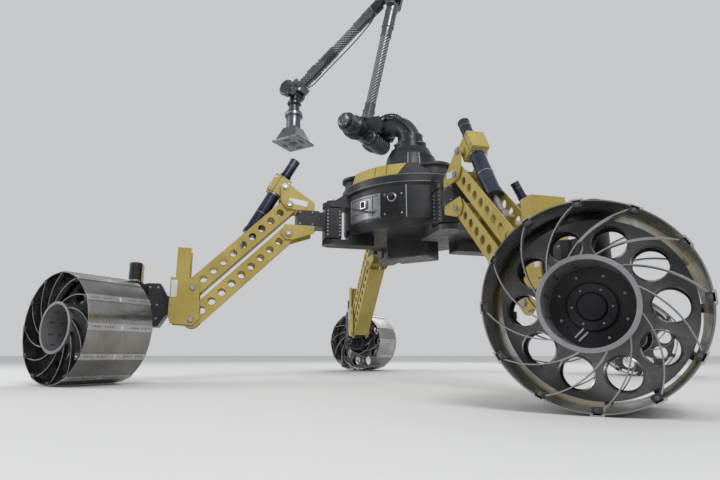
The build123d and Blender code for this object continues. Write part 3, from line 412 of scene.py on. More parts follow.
def dress_wheel_node(leg):
    """Each sheet of the rim in its own tone, bright cleats, webs darkened as painted shade, and a grey hub with
    its plate black as painted shade.
    """
    node = NODES["wheel_" + leg.name]
    mesh = node.data
    looks = [*RIM_STEELS, CLEAT_STEEL, SHADED_WEB_STEEL, HUB_STEEL, BLACK, STEEL]
    give_looks(mesh, looks)
    into_wheel = leg.axle().inverted() @ node.matrix_world
    for face in mesh.polygons:
        corners = [into_wheel @ mesh.vertices[k].co for k in face.vertices]
        spans = [Vector((corner.x, corner.y)).length for corner in corners]
        depths = [leg.wheel_half - corner.z for corner in corners]
        middle = sum(corners, Vector()) / len(corners)
        if max(spans) > RIM_SKIN + 0.001:
            look = CLEAT_STEEL
        elif min(spans) > RIM_EDGE - 0.003:
            sheet = int(degrees(atan2(middle.y, middle.x)) % 360 // (360 / SEAMS))
            look = RIM_STEELS[sheet * 5 % 3]
        elif max(spans) < HUB_R - 0.0015 and min(depths) > HUB_PLATE_IN - 0.001:
            # The hub plate's faces are black as painted shade of the hub's deep inside; its walls keep the grey
            # alloy.
            look = BLACK if max(depths) < HUB_PLATE_IN + 0.009 else HUB_STEEL
        elif max(spans) < HUB_R + 0.006:
            look = HUB_STEEL
        # The webs take the steel darkened as painted shade.
        elif min(depths) > WEB_IN - 0.001 and max(depths) < WEB_IN + WEB_GAP + 0.008:
            look = SHADED_WEB_STEEL
        else:
            look = STEEL
        face.material_index = looks.index(look)


def shape_lathe(profile, steps):
    """Verts and faces of a profile of (radius, height) pairs turned about local z, ends closed."""
    verts = []
    rings = []
    for radius, height in profile:
        if radius < 1e-6:
            rings.append([len(verts)])
            verts.append((0, 0, height))
            continue
        rings.append(list(range(len(verts), len(verts) + steps)))
        for k in range(steps):
            verts.append((radius * cos(tau * k / steps), radius * sin(tau * k / steps), height))
    faces = []
    for low, high in zip(rings, rings[1:]):
        for k in range(steps):
            n = k + 1
            corners = [low[k % len(low)], low[n % len(low)], high[n % len(high)], high[k % len(high)]]
            unique = list(dict.fromkeys(corners))
            if len(unique) > 2:
                faces.append(unique)
    for ring, flip in ((rings[0], True), (rings[-1], False)):
        if len(ring) > 1:
            faces.append(ring[::-1] if flip else ring)
    return verts, faces


def shape_cap(steps, sides):
    """A turned cap that stands on its place, its (radius, height) steps from the foot up."""
    return shape_lathe([(steps[0][0], 0.0), *steps, (0.0, steps[-1][1])], sides)


def shape_ring(profile, steps):
    """A turned profile left open along its middle."""
    verts, faces = shape_lathe(profile, steps)
    return verts, [face for face in faces if len(face) == 4]


def faces_between(levels, count):
    """The faces from each ring of points to the next."""
    faces = []
    for level in range(levels - 1):
        a, b = level * count, (level + 1) * count
        for k in range(count):
            n = (k + 1) % count
            faces.append([a + k, a + n, b + n, b + k])
    return faces


def shape_prism(outline, depth, chamfer=0.0):
    """An outline of (x, y) pairs, counter-clockwise, raised along z, its top edge chamfered."""
    count = len(outline)
    centre = Vector((sum(p[0] for p in outline) / count, sum(p[1] for p in outline) / count))
    levels = [(0.0, 0.0), (depth - chamfer, 0.0)]
    if chamfer:
        levels.append((depth, chamfer))
    verts = []
    for height, inset in levels:
        for x, y in outline:
            away = Vector((x, y)) - centre
            point = centre + away * max(0.0, 1 - inset / max(away.length, 1e-6) * 1.2)
            verts.append((point.x, point.y, height))
    ends = [list(range(count))[::-1], [len(verts) - count + k for k in range(count)]]
    return verts, ends + faces_between(len(levels), count)


def shape_tube(points, radius, sides=8):
    """A round tube along a line of points, ends closed."""
    points = [Vector(p) for p in points]
    verts = []
    side = None
    for k, point in enumerate(points):
        ahead = points[min(k + 1, len(points) - 1)] - points[max(k - 1, 0)]
        ahead.normalize()
        if side is None:
            side = ahead.orthogonal().normalized()
        side = (side - ahead * side.dot(ahead)).normalized()
        third = ahead.cross(side)
        for s in range(sides):
            turn = tau * s / sides
            verts.append(point + side * (radius * cos(turn)) + third * (radius * sin(turn)))
    ends = [list(range(sides))[::-1], [len(verts) - sides + s for s in range(sides)]]
    return verts, faces_between(len(points), sides) + ends


def rounded(width, height, corner):
    """A rounded rectangle's outline, centred, counter-clockwise."""
    steps = 3
    points = []
    for sx, sy, start in ((1, 1, 0), (-1, 1, 90), (-1, -1, 180), (1, -1, 270)):
        for k in range(steps + 1):
            turn = radians(start + 90 * k / steps)
            cx = sx * (width / 2 - corner)
            cy = sy * (height / 2 - corner)
            points.append((cx + corner * cos(turn), cy + corner * sin(turn)))
    return points


def shape_pad(width, height, corner, depth, chamfer=0.0):
    """A rounded rectangle raised along z."""
    return shape_prism(rounded(width, height, corner), depth, chamfer)


def smooth_line(points):
    """A Catmull-Rom line through given points."""
    steps = 8
    points = [Vector(p) for p in points]
    ends = [points[0] * 2 - points[1], *points, points[-1] * 2 - points[-2]]
    line = []
    for k in range(1, len(ends) - 2):
        a, b, c, d = ends[k - 1 : k + 3]
        for s in range(steps):
            t = s / steps
            square = (2 * a - 5 * b + 4 * c - d) * t**2
            cube = (3 * b - a - 3 * c + d) * t**3
            line.append(0.5 * (2 * b + (c - a) * t + square + cube))
    return [*line, points[-1]]


def new_object(name, data):
    """An object in the scene."""
    made = bpy.data.objects.new(name, data)
    bpy.context.scene.collection.objects.link(made)
    return made


class Piece:
    """Many small solids gathered into one mesh that rides on a body."""

    def __init__(self, name, body, slot):
        self.name = name
        self.body = body
        self.slot = slot
        self.verts = []
        self.faces = []
        self.looks = []
        self.face_looks = []

    def add(self, shape, places, look):
        """The shape at each place, a matrix or a list of them, in one finish."""
        verts, faces = shape
        if look not in self.looks:
            self.looks.append(look)
        index = self.looks.index(look)
        for place in places if isinstance(places, list) else [places]:
            start = len(self.verts)
            self.verts.extend((place @ Vector(v))[:] for v in verts)
            self.faces.extend([start + k for k in face] for face in faces)
            self.face_looks.extend([index] * len(faces))

    def add_screws(self, screw, base, count, radius, start=0.0, lift=0.0):
        """Screws on a circle about the base's own z."""
        places = [base @ place @ shift(z=lift) for place in around(count, radius, start)]
        self.add(screw, places, SCREW)

    def make(self):
        mesh = bpy.data.meshes.new(self.name)
        mesh.from_pydata(self.verts, [], self.faces)
        give_looks(mesh, self.looks)
        mesh.polygons.foreach_set("material_index", self.face_looks)
        mesh.polygons.foreach_set("use_smooth", [True] * len(self.faces))
        mesh.update()
        mesh.set_sharp_from_angle(angle=radians(SHARP_EDGE))
        made = new_object(self.name, mesh)
        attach(made, self.body)


def cap_screw(radius, height):
    """A socket-cap screw head on a washer."""
    steps = [(radius * 1.5, height * 0.2), (radius, height * 0.2), (radius, height * 0.9)]
    steps += [(radius * 0.85, height), (radius * 0.5, height), (radius * 0.45, height * 0.5)]
    return shape_cap(steps, 12)


def hex_nut(radius, height):
    """A hexagon nut with a chamfered crown."""
    profile = [(radius, 0.0), (radius, height * 0.75), (radius * 0.82, height)]
    profile += [(radius * 0.4, height), (0.0, height * 0.8)]
    return shape_lathe(profile, 6)


def rivet(radius, height):
    """A low domed rivet head."""
    return shape_lathe([(radius, 0.0), (radius * 0.8, height * 0.7), (0.0, height)], 8)


def placed(origin, x_dir, z_dir):
    """A frame from its origin, x and z directions."""
    z = Vector(z_dir).normalized()
    x = Vector(x_dir)
    x = (x - z * x.dot(z)).normalized()
    y = z.cross(x)
    made = Matrix((x, y, z)).transposed().to_4x4()
    made.translation = origin
    return made


def shift(x=0.0, y=0.0, z=0.0):
    return Matrix.Translation((x, y, z))


def turned(degrees_round, axis="Z"):
    return Matrix.Rotation(radians(degrees_round), 4, axis)


def around(count, radius, start=0.0):
    """Places on a circle about local z, each with x pointing out."""
    return [turned(start + 360 * k / count) @ shift(radius) for k in range(count)]


class Leg:
    """One leg's places, read from the frame's joints."""

    def __init__(self, name):
        self.name = name
        swing = pin("swing_" + name)
        self.heading = atan2(swing.y, swing.x)
        self.out = 1 if swing.y > 0 else -1
        self.axis = Vector((swing.x, swing.y, 0))
        self.outward = self.axis.normalized()
        self.across = Vector((sin(self.heading), -cos(self.heading), 0))
        self.pivot = self.local(pin("lift_" + name))
        self.low_pivot = self.local(pin("lower_turn_" + name))
        self.knee = self.local(pin("knee_turn_" + name))
        self.trunnion = self.local(pin("barrel_turn_" + name))
        self.steer = self.local(pin("steer_" + name))
        self.wheel = pin("wheel_spin_" + name)
        low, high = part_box("wheel_" + name)
        self.wheel_half = (high.y - low.y) / 2
        self.run = Vector(JOINTS["rod_slide_" + name]["axis"])

    def trim(self, kind, body, slot="steel"):
        """A trim piece of this leg, riding on one of its bodies."""
        return Piece(kind + "_trim_" + self.name, body + "_" + self.name, slot)

    def local(self, point):
        """A frame point on the leg's plane, as (x out from the swivel axis, height)."""
        return (point - self.axis).dot(self.outward), point.z

    def upright(self, x, z, side, down):
        """Local x out and down by the angle, y up, z across the leg."""
        origin = self.axis + self.outward * x + self.across * side + Vector((0, 0, z))
        along = self.outward * cos(radians(down)) - Vector((0, 0, sin(radians(down))))
        return placed(origin, along, self.across)

    def face(self, x, z, side, sign, down=0.0):
        """A place on a side face, its z looking out of that face on either side of the leg."""
        made = self.upright(x, z, sign * side, down)
        return made if sign > 0 else made @ turned(180, "X")

    def level(self, x, z):
        """Local x out, z up."""
        return placed(self.axis + self.outward * x + Vector((0, 0, z)), self.outward, (0, 0, 1))

    def axle(self, along=0.0):
        """The wheel's frame: z out of the open face, y up, starting at the wheel's middle."""
        return placed(self.wheel + Vector((0, self.out * along, 0)), (-self.out, 0, 0), (0, self.out, 0))


def thin_plate(width, height, corner):
    """A bare sticker plate."""
    return shape_pad(width, height, corner, 0.0012, 0.0004)


def dress_swivel(leg):
    """Screws, nuts and bare plates on the swivel head and its yellow cheeks."""
    piece = leg.trim("swivel", "swivel")
    screw = cap_screw(0.0026, 0.004)
    rows = [SWIVEL_SCREW_LOW + SWIVEL_SCREW_STEP * k for k in range(SWIVEL_SCREWS)]
    washer = shape_cap([(0.014, WASHER_T)], 20)
    for sign in (1, -1):
        head = [leg.face(x, z, SWIVEL_HALF_W, sign) for x in (-0.028, 0.028) for z in rows]
        beam = [leg.face(x, z, CHEEK_FACE, sign) for x in (0.100, 0.156) for z in (0.676, 0.730)]
        edges = (BEAM_TOP + 0.008, BEAM_BOTTOM - 0.008)
        cheek = [leg.face(x, z, CHEEK_FACE, sign) for x in (0.100, 0.130) for z in edges]
        piece.add(screw, head + beam + cheek, SCREW)
        for x, z in (leg.pivot, leg.low_pivot):
            piece.add(hex_nut(0.013, 0.008), leg.face(x, z, CHEEK_FACE + 0.006, sign), SCREW)
        x, z = leg.trunnion
        piece.add(washer, leg.face(x, z, CHEEK_FACE, sign), SCREW)
        piece.add(hex_nut(0.012, 0.008), leg.face(x, z, CHEEK_FACE + WASHER_T, sign), SCREW)
        plate_at = leg.face(0.166, BEAM_TOP + 0.034, CHEEK_FACE, sign, 8 * sign)
        piece.add(thin_plate(0.086, 0.026, 0.003), plate_at, PLATE)
    piece.add(hex_nut(0.016, 0.010), leg.level(0.0, LUG_TOP + 0.014), SCREW)
    piece.make()


def dress_bars(leg):
    """Rolled lips round the bars' lightening holes."""
    lip = [(HOLE_R, 0.0), (LIP_R, 0.0), (LIP_R, 0.0009), (HOLE_R, 0.0014), (HOLE_R, 0.0)]
    ring = shape_ring(lip, 20)
    for kind, pivot in (("upper", leg.pivot), ("lower", leg.low_pivot)):
        piece = leg.trim(kind + "_bar", kind + "_link", "yellow")
        base = leg.upright(pivot[0], pivot[1], 0, BAR_SLOPE)
        for sign in (1, -1):
            holes = [base @ shift(HOLE_PITCH * (k + 1), 0, BAR_FACE * sign) for k in range(HOLE_COUNT)]
            if sign < 0:
                holes = [hole @ turned(180, "X") for hole in holes]
            piece.add(ring, holes, YELLOW)
        piece.make()


def dress_knee(leg):
    """Screws, bare plates and pin nuts on the knee, with the gearbox's screws, bracket and caps."""
    piece = leg.trim("knee", "knee")
    screw = cap_screw(0.0030, 0.004)
    x, z = leg.knee
    steer_x = leg.steer[0]
    box_end = steer_x - BOX_CLEAR
    low = leg.low_pivot[1] - leg.pivot[1]
    for sign in (1, -1):
        edge = [leg.face(x + 0.078, z + dz, CHEEK_FACE, sign) for dz in (-0.070, -0.126)]
        piece.add(screw, edge, SCREW)
        for dz in (0.0, low):
            piece.add(hex_nut(0.012, 0.007), leg.face(x, z + dz, CHEEK_FACE + 0.002, sign), SCREW)
        piece.add(thin_plate(0.024, 0.070, 0.002), leg.face(x + 0.072, z - 0.006, CHEEK_FACE, sign), PLATE)
        spots = [(box_end - dx, BOX_TOP - dz) for dx in (0.018, 0.048) for dz in (0.016, 0.086, 0.140)]
        piece.add(screw, [leg.face(*spot, BOX_HALF, sign) for spot in spots], SCREW)
    bracket = shape_pad(0.034, 0.112, 0.003, 0.003, 0.0006)
    piece.add(bracket, leg.level(steer_x - 0.030, 0.412) @ turned(90, "Y") @ turned(90, "Z"), YELLOW)
    cap = shape_cap([(STEER_MOTOR_R + 0.001, 0.010), (0.020, 0.013)], 32)
    top = leg.level(steer_x, STEER_MOTOR_TOP - 0.012)
    piece.add(cap, top, SATIN)
    piece.add_screws(cap_screw(0.0022, 0.003), top, 4, 0.015, 45, 0.012)
    band = shape_cap([(STEER_MOTOR_R + 0.002, 0.006)], 32)
    piece.add(band, leg.level(steer_x, HEAD_TOP + 0.004), SCREW)
    piece.add_screws(screw, leg.level(steer_x, HEAD_TOP), 4, 0.029, 45)
    piece.make()


def dress_actuator(leg):
    """Clamp screws and split line, rings on the screw tube and bands on the motor."""
    piece = leg.trim("actuator", "barrel")
    origin = pin("barrel_turn_" + leg.name)
    up = leg.run.cross(leg.across)
    if up.z < 0:
        up = -up
    tube = placed(origin + up * BARREL_OFF, leg.across, leg.run)
    rings = (
        (-0.149, MOTOR_R + 0.0012, 0.010, SATIN),
        (-0.118, MOTOR_R + 0.0010, 0.003, SCREW),
        (-0.066, MOTOR_R + 0.0030, 0.012, SATIN),
        (CLAMP_L / 2, BARREL_R + 0.0016, 0.008, SCREW),
        (0.150, BARREL_R + 0.0012, 0.004, SCREW),
    )
    for along, radius, length, look in rings:
        root = radius - 0.003
        profile = [(root, 0.0), (radius, 0.001), (radius, length - 0.001), (root, length)]
        piece.add(shape_ring(profile, 36), tube @ shift(z=along), look)
    screw = cap_screw(0.0034, 0.004)
    slit = shape_pad(CLAMP_L * 0.98, 0.0022, 0.0005, 0.0004)
    for sign in (1, -1):
        side = leg.across * (CLAMP_HALF_W * sign)
        for along in (-CLAMP_SCREW, CLAMP_SCREW):
            for high in (-CLAMP_SCREW_HIGH, CLAMP_SCREW_HIGH):
                spot = origin + up * (BARREL_OFF + high) + leg.run * along + side
                piece.add(screw, placed(spot, leg.run, leg.across * sign), SCREW)
        centre = origin + up * (BARREL_OFF + 0.014) + side
        piece.add(slit, placed(centre, leg.run, leg.across * sign), DEEP)
    piece.make()


def dress_wheel(leg):
    """Edge brackets, rivets and tabs of the seams, hub slots as dark pads of painted shade, hub plate and hole
    lips of one wheel.
    """
    piece = leg.trim("wheel", "wheel")
    dress_wheel_node(leg)
    half = leg.wheel_half
    face = leg.axle(half)
    back = leg.axle(-half)
    foot = [(-0.009, 0.184), (0.009, 0.184), (0.009, 0.1985), (-0.009, 0.1985)]
    bracket = shape_prism(foot, BRACKET_T, 0.0015)
    screw = cap_screw(0.0024, 0.003)
    tab = shape_pad(0.018, 0.007, 0.001, 0.0005)
    slot = shape_pad(0.0056, 0.0072, 0.0015, 0.0006)
    groups = (-0.096, -0.050, 0.050, 0.096)
    rows = [group + j * RIVET_STEP for group in groups for j in (-1.5, -0.5, 0.5, 1.5)]
    for k in range(SEAMS):
        seam = turned(360 * k / SEAMS)
        piece.add(bracket, [face @ seam @ shift(z=-BRACKET_T), back @ seam], SATIN)
        piece.add(screw, face @ seam @ shift(y=BRACKET_SCREW), DARK_SCREW)
        piece.add(screw, back @ seam @ shift(y=BRACKET_SCREW) @ turned(180, "X"), DARK_SCREW)
        rivets = [leg.axle(row) @ seam @ shift(y=CLEAT_TOP) @ turned(-90, "X") for row in rows]
        piece.add(rivet(0.0026, 0.0004), rivets, DEEP)
        piece.add(tab, leg.axle() @ seam @ shift(y=CLEAT_TOP - 0.0002) @ turned(-90, "X"), PLATE)
        # Dark pads stand for the hub's slots: painted shade in place of openings.
        slots = []
        for depth in (0.030, 0.040, 0.066, 0.076):
            between = leg.axle(half - depth) @ seam @ turned(180 / SEAMS)
            slots.append(between @ shift(y=HUB_BORE) @ turned(90, "X"))
        piece.add(slot, slots, DEEP)
    outer = WEB_HOLE_R + 0.003
    ring = shape_ring([(WEB_HOLE_R, 0.0), (outer, 0.0), (outer, 0.0015), (WEB_HOLE_R, 0.003)], 36)
    for depth in (WEB_IN, WEB_IN + WEB_GAP):
        holes = [leg.axle(half - depth) @ place for place in around(WEB_HOLES, WEB_HOLE_PCR)]
        piece.add(ring, holes, STEEL)
    plate = leg.axle(half - HUB_PLATE_IN)
    hub_ring = shape_cap([(0.050, 0.006), (0.046, 0.009), (0.030, 0.009), (0.026, 0.014)], 40)
    piece.add(hub_ring, plate, BLACK)
    piece.add_screws(cap_screw(0.0018, 0.003), plate, 8, 0.066, 22.5)
    piece.add_screws(cap_screw(0.0015, 0.002), plate, 6, 0.038, 0, 0.009)
    bar = shape_pad(0.0034, 0.026, 0.0012, 0.010, 0.0008)
    for off in (-0.005, 0.005):
        piece.add(bar, plate @ turned(-24) @ shift(y=-0.060) @ turned(-22) @ shift(off), PLATE)
    piece.make()


def dress_steering(leg):
    """Cover and flange screws on the steering arm, bands on the wheel's drive."""
    piece = leg.trim("steering", "steering")
    inner = leg.axle(-leg.wheel_half)
    back_of_arm = leg.axle(-WHEEL_OUT - STEER_ARM_T) @ turned(180, "X")
    piece.add(shape_cap([(0.030, 0.004), (0.026, 0.006)], 32), back_of_arm, SATIN)
    piece.add_screws(cap_screw(0.0030, 0.004), back_of_arm, 6, 0.022, 0, 0.005)
    ring = shape_ring([(0.056, 0.0), (0.0592, 0.001), (0.0592, 0.003), (0.056, 0.004)], 40)
    piece.add(ring, [inner @ shift(z=along) for along in (0.010, 0.040, 0.070)], SCREW)
    piece.make()


def chassis_rim():
    """The radius of the chassis's rim, read from the frame."""
    node = NODES["chassis"]
    points = [node.matrix_world @ vertex.co for vertex in node.data.vertices]
    rim = [point for point in points if RIM_LOW - 0.0005 < point.z < RIM_HIGH + 0.0005]
    return max(Vector((point.x, point.y)).length for point in rim)


def wall(turn, radius, z):
    """A place on the body's round wall, its z looking out and its y up."""
    return turned(turn) @ shift(radius, 0, z) @ turned(90, "Y") @ turned(90, "Z")


def shape_arc(inner, outer, height, start, end):
    """A curved rail about the vertical axis, between two headings in degrees."""
    turns = [radians(start + (end - start) * k / ARC_STEPS) for k in range(ARC_STEPS + 1)]
    outline = [(outer * cos(t), outer * sin(t)) for t in turns]
    outline += [(inner * cos(t), inner * sin(t)) for t in reversed(turns)]
    return shape_prism(outline, height)


def shape_shield():
    """A thin black shield over one end of a yellow roof panel, its free edge slanted."""
    steps = 8
    low = (BODY_R, RIM_HIGH + 0.0005, SHIELD_LOW, ROOF_TO)
    high = (DECK_R, DECK_Z - 0.0005, SHIELD_HIGH, ROOF_TO - 0.5)
    under, over = -0.0005, 0.0010
    verts = []
    for k in range(steps + 1):
        for (radius, z, first, last), lift in ((low, under), (high, under), (high, over), (low, over)):
            turn = radians(first + (last - first) * k / steps)
            reach = radius + PANEL_PROUD + lift
            verts.append((reach * cos(turn), reach * sin(turn), z + lift))
    ends = [[3, 2, 1, 0], [4 * steps + k for k in range(4)]]
    return verts, ends + faces_between(steps + 1, 4)


def dress_side_panel(piece, side):
    """Frame, port and hose of the grey panel on one side of the body."""
    skin = BODY_R + PANEL_T
    rail = shape_arc(skin - 0.001, skin + 0.003, 0.008, PANEL_FROM + side, PANEL_TO + side)
    for z in (PANEL_LO + 0.004, PANEL_HI - 0.012, PANEL_LO + 0.036):
        piece.add(rail, shift(z=z), GREY)
    post = shape_pad(0.007, PANEL_HI - PANEL_LO - 0.010, 0.002, 0.004, 0.001)
    for turn in (PANEL_FROM + 0.7, PANEL_POST, PANEL_TO - 0.7):
        piece.add(post, wall(turn + side, skin - 0.0005, (PANEL_LO + PANEL_HI) / 2), GREY)
    port = wall(PANEL_BOX + side, skin, PORT_Z)
    piece.add(shape_pad(0.034, 0.038, 0.004, 0.010, 0.002), port, SCREW)
    piece.add(shape_pad(0.022, 0.026, 0.003, 0.0112, 0.001), port, DEEP)
    bends = ((240.5, 0.012, 0.752), (250, 0.016, 0.728), (262, 0.012, 0.706), (266, 0.001, 0.704))
    hose = [turned(turn + side) @ Vector((skin + proud, 0, z)) for turn, proud, z in bends]
    piece.add(shape_tube(smooth_line(hose), HOSE_R), shift(), RUBBER)


def dress_knob(piece, side):
    """The knob beside a side panel, with its ring, screws and upright seam."""
    at = wall(KNOB_TURN + side, BODY_R - 0.0015, 0.761)
    knob = [(0.015, 0.010), (0.011, 0.014), (0.011, 0.022), (0.008, 0.025)]
    piece.add(shape_cap([(0.020, 0.004), (0.017, 0.006)], 28), at, SCREW)
    piece.add(shape_cap(knob, 28), at, SATIN)
    seam = shape_pad(0.0035, 0.150, 0.001, 0.003, 0.0008)
    piece.add(seam, wall(SEAM_TURN + side, BODY_R - 0.0008, PORT_Z), SCREW)
    screws = [wall(turn + side, BODY_R - 0.0006, z) for turn in (273.5, 286.5) for z in (0.690, 0.775)]
    piece.add(cap_screw(0.0028, 0.003), screws, SCREW)


def dress_roof(piece):
    """Seams, lips and shields of the four yellow roof panels."""
    slope = Vector((BODY_R - DECK_R, 0, RIM_HIGH - DECK_Z))
    middle = Vector(((BODY_R + DECK_R) / 2 + PANEL_PROUD, 0, (RIM_HIGH + DECK_Z) / 2))
    seam = shape_pad(slope.length - 0.004, 0.002, 0.0008, 0.0006)
    lip = shape_arc(BODY_R - 0.002, BODY_R + 0.005, 0.003, ROOF_FROM, SHIELD_LOW)
    for side in (0, 90, 180, 270):
        at = turned(side) @ placed(middle, slope, (DECK_Z - RIM_HIGH, 0, BODY_R - DECK_R))
        piece.add(seam, [turned(-5) @ at, turned(5) @ at], DEEP)
        piece.add(lip, turned(side) @ shift(z=RIM_HIGH), YELLOW)
        piece.add(shape_shield(), turned(side), BLACK)


def from_housings(turn):
    """How many degrees a heading lies from the nearest leg housing."""
    return min(abs((turn - 45 - 90 * quarter + 180) % 360 - 180) for quarter in range(4))


def dress_body():
    """Side panels, knobs, rim bands, roof and deck screws of the body."""
    piece = Piece("body_trim", "body", "steel")
    for side in (0, 180):
        dress_side_panel(piece, side)
        dress_knob(piece, side)
    rim_r = chassis_rim()
    root = rim_r - 0.003
    crest = rim_r + 0.0006
    band = shape_ring([(root, 0.0), (crest, 0.001), (crest, 0.003), (root, 0.004)], 160)
    piece.add(band, [shift(z=RIM_LOW + 0.001), shift(z=RIM_HIGH - 0.0035)], GREY)
    dress_roof(piece)
    screw = cap_screw(0.0040, 0.004)
    turns = [360 * (k + 0.5) / DECK_SCREWS for k in range(DECK_SCREWS)]
    turns = [turn for turn in turns if from_housings(turn) > HOUSING_SPAN]
    piece.add(screw, [turned(turn) @ shift(DECK_R - 0.012, 0, DECK_Z) for turn in turns], SCREW)
    piece.add_screws(screw, shift(z=DECK_Z + FLANGE_T), 16, CONE_R + 0.008)
    piece.make()


def dress_turret():
    """Seams, screws and small handles of the turret's cone and ring."""
    piece = Piece("turret_trim", "body", "arm_black")
    rise = CONE_EDGE_Z - DECK_Z - FLANGE_T
    lean = atan2(CONE_R - CONE_EDGE_R, rise)
    seam = shape_pad(rise / cos(lean), 0.0035, 0.001, 0.0012)
    middle_r = (CONE_R + CONE_EDGE_R) / 2
    middle_z = (CONE_EDGE_Z + DECK_Z + FLANGE_T) / 2
    for turn in (-72, -48, 18, 60, 132, 204):
        at = turned(turn) @ shift(middle_r - 0.0004, 0, middle_z) @ Matrix.Rotation(pi / 2 - lean, 4, "Y")
        piece.add(seam, at, SCREW)
    radius = RING_R + 0.001
    loop = [(radius - 0.004, -0.014, 0), (radius + 0.010, -0.012, 0), (radius + 0.014, 0, 0)]
    loop += [(radius + 0.010, 0.012, 0), (radius - 0.004, 0.014, 0)]
    handle = shape_tube(smooth_line(loop), HOSE_R)
    for turn in (-30, 150, 60, -120):
        piece.add(handle, turned(turn) @ shift(z=RING_TOP_Z - 0.014), SCREW)
    piece.add_screws(cap_screw(0.0028, 0.004), shift(z=RING_TOP_Z), 12, 0.0740)
    piece.make()


def on_side(point, reach, sign):
    """A place to the left (sign 1) or right (sign -1) of a point, its z looking that way."""
    return placed(point + Vector((0, reach * sign, 0)), (1, 0, 0), (0, sign, 0))


def shape_band(radius, length, proud):
    """A band round a shaft of the given radius, its edges eased."""
    root = radius - 0.001
    eased = radius + proud * 0.6
    crest = radius + proud
    profile = [(root, 0.0), (eased, 0.0), (crest, proud * 0.5), (crest, length - proud * 0.5)]
    return shape_ring([*profile, (eased, length), (root, length)], 48)


def dress_shoulder():
    """Ribs, caps, screws, cover and cables of the turning shoulder and its drives."""
    piece = Piece("shoulder_trim", "turret", "arm_black")
    shoulder = pin("arm_shoulder")
    screw = cap_screw(0.0032, 0.004)
    cap = shape_cap([(0.032, 0.003), (0.026, 0.005), (0.022, 0.003), (0.010, 0.003), (0.008, 0.006)], 40)
    rib = shape_band(SHOULDER_R - 0.004, RIB_L, 0.003)
    hoop = shape_band(SHOULDER_R + 0.008, RIB_L, 0.002)
    lug = shape_cap([(0.006, 0.014), (0.004, 0.016)], 12)
    for sign in (1, -1):
        end = on_side(shoulder, DRUM_END, sign)
        piece.add(cap, end, ARM_METAL)
        piece.add_screws(screw, end, 6, 0.0285, 0, 0.004)
        ribs = [end @ shift(z=-inward - RIB_L) for inward in (0.020, 0.032, 0.044, 0.056)]
        piece.add(rib, ribs, ARM_METAL)
        piece.add(hoop, [end @ shift(z=-inward - RIB_L) for inward in (0.084, 0.098, 0.112)], SATIN)
        lugs = [end @ place @ shift(z=-0.078) for place in around(8, SHOULDER_R - 0.001, 22.5)]
        piece.add(lug, lugs, ARM_METAL)
    motor = shoulder + Vector((ARM_MOTOR_X, 0, ARM_MOTOR_Z))
    tail = placed(motor - Vector((0, ARM_MOTOR_END, 0)), (1, 0, 0), (0, 1, 0))
    fins = [tail @ shift(z=0.006 + 0.020 * k) for k in range(7)]
    piece.add(shape_band(ARM_MOTOR_R, 0.008, 0.0025), fins, ARM_METAL)
    cap = shape_cap([(0.036, 0.006), (0.028, 0.012), (0.014, 0.012), (0.012, 0.020)], 36)
    for sign in (1, -1):
        end = on_side(motor, ARM_MOTOR_END, sign)
        piece.add(cap, end, SATIN)
        piece.add_screws(screw, end, 6, 0.032, 30, 0.005)
    cover = shape_pad(0.080, 0.046, 0.010, 0.006, 0.0015)
    top = shift(-0.105, 0, shoulder.z + CASTING_R - 0.003)
    piece.add(cover, top, ARM_METAL)
    piece.add(screw, [top @ shift(x, y, 0.006) for x in (-0.034, 0, 0.034) for y in (-0.018, 0.018)], SCREW)
    drum = [(0.050, 0.001), (COLLAR_R - 0.001, 0.001), (COLLAR_R, 0.003), (COLLAR_R, 0.012)]
    drum += [(COLLAR_R - 0.003, 0.014), (COLLAR_R - 0.003, 0.046)]
    drum += [(COLLAR_R - 0.006, COLLAR_H), (0.050, COLLAR_H)]
    piece.add(shape_ring(drum, 64), shift(z=RING_TOP_Z), SATIN)
    piece.add_screws(cap_screw(0.0026, 0.003), shift(z=RING_TOP_Z + COLLAR_H), 12, 0.0555)
    high = shoulder.z
    for side, reach, rise in ((-1, 0.060, 0.010), (1, 0.060, 0.016), (-1, 0.050, 0.030)):
        route = [
            (0.030, side * reach * 0.85, RING_TOP_Z + 0.030),
            (0.016, side * reach, high - 0.050),
            (-0.040, side * reach, high + rise),
            (-0.110, side * (reach - 0.006), high + 0.040 + rise * 0.5),
            (-0.160, side * (reach + 0.004), high + 0.036),
            (shoulder.x + 0.040, side * (DRUM_IN + 0.010), high + 0.052),
            (shoulder.x + 0.010, side * (DRUM_IN + 0.022), high + 0.056),
        ]
        piece.add(shape_tube(smooth_line(route), CABLE_R, 10), shift(), RUBBER)
    clip = shape_pad(0.014, 0.020, 0.003, 0.012, 0.001)
    for side in (-1, 1):
        piece.add(clip, placed((-0.112, side * 0.046, high + 0.030), (1, 0, 0), (0, side, 0.5)), SATIN)
    piece.make()


def add_collars(piece, tube, collars):
    """Collars round an arm's tube, each a start along it, a length and a radius."""
    for along, length, radius in collars:
        piece.add(shape_band(radius, length, COLLAR_PROUD), tube @ shift(z=along), ARM_METAL)


def radial(base, count, radius):
    """Places round a shaft, each looking out from it."""
    return [base @ place @ turned(90, "Y") for place in around(count, radius)]


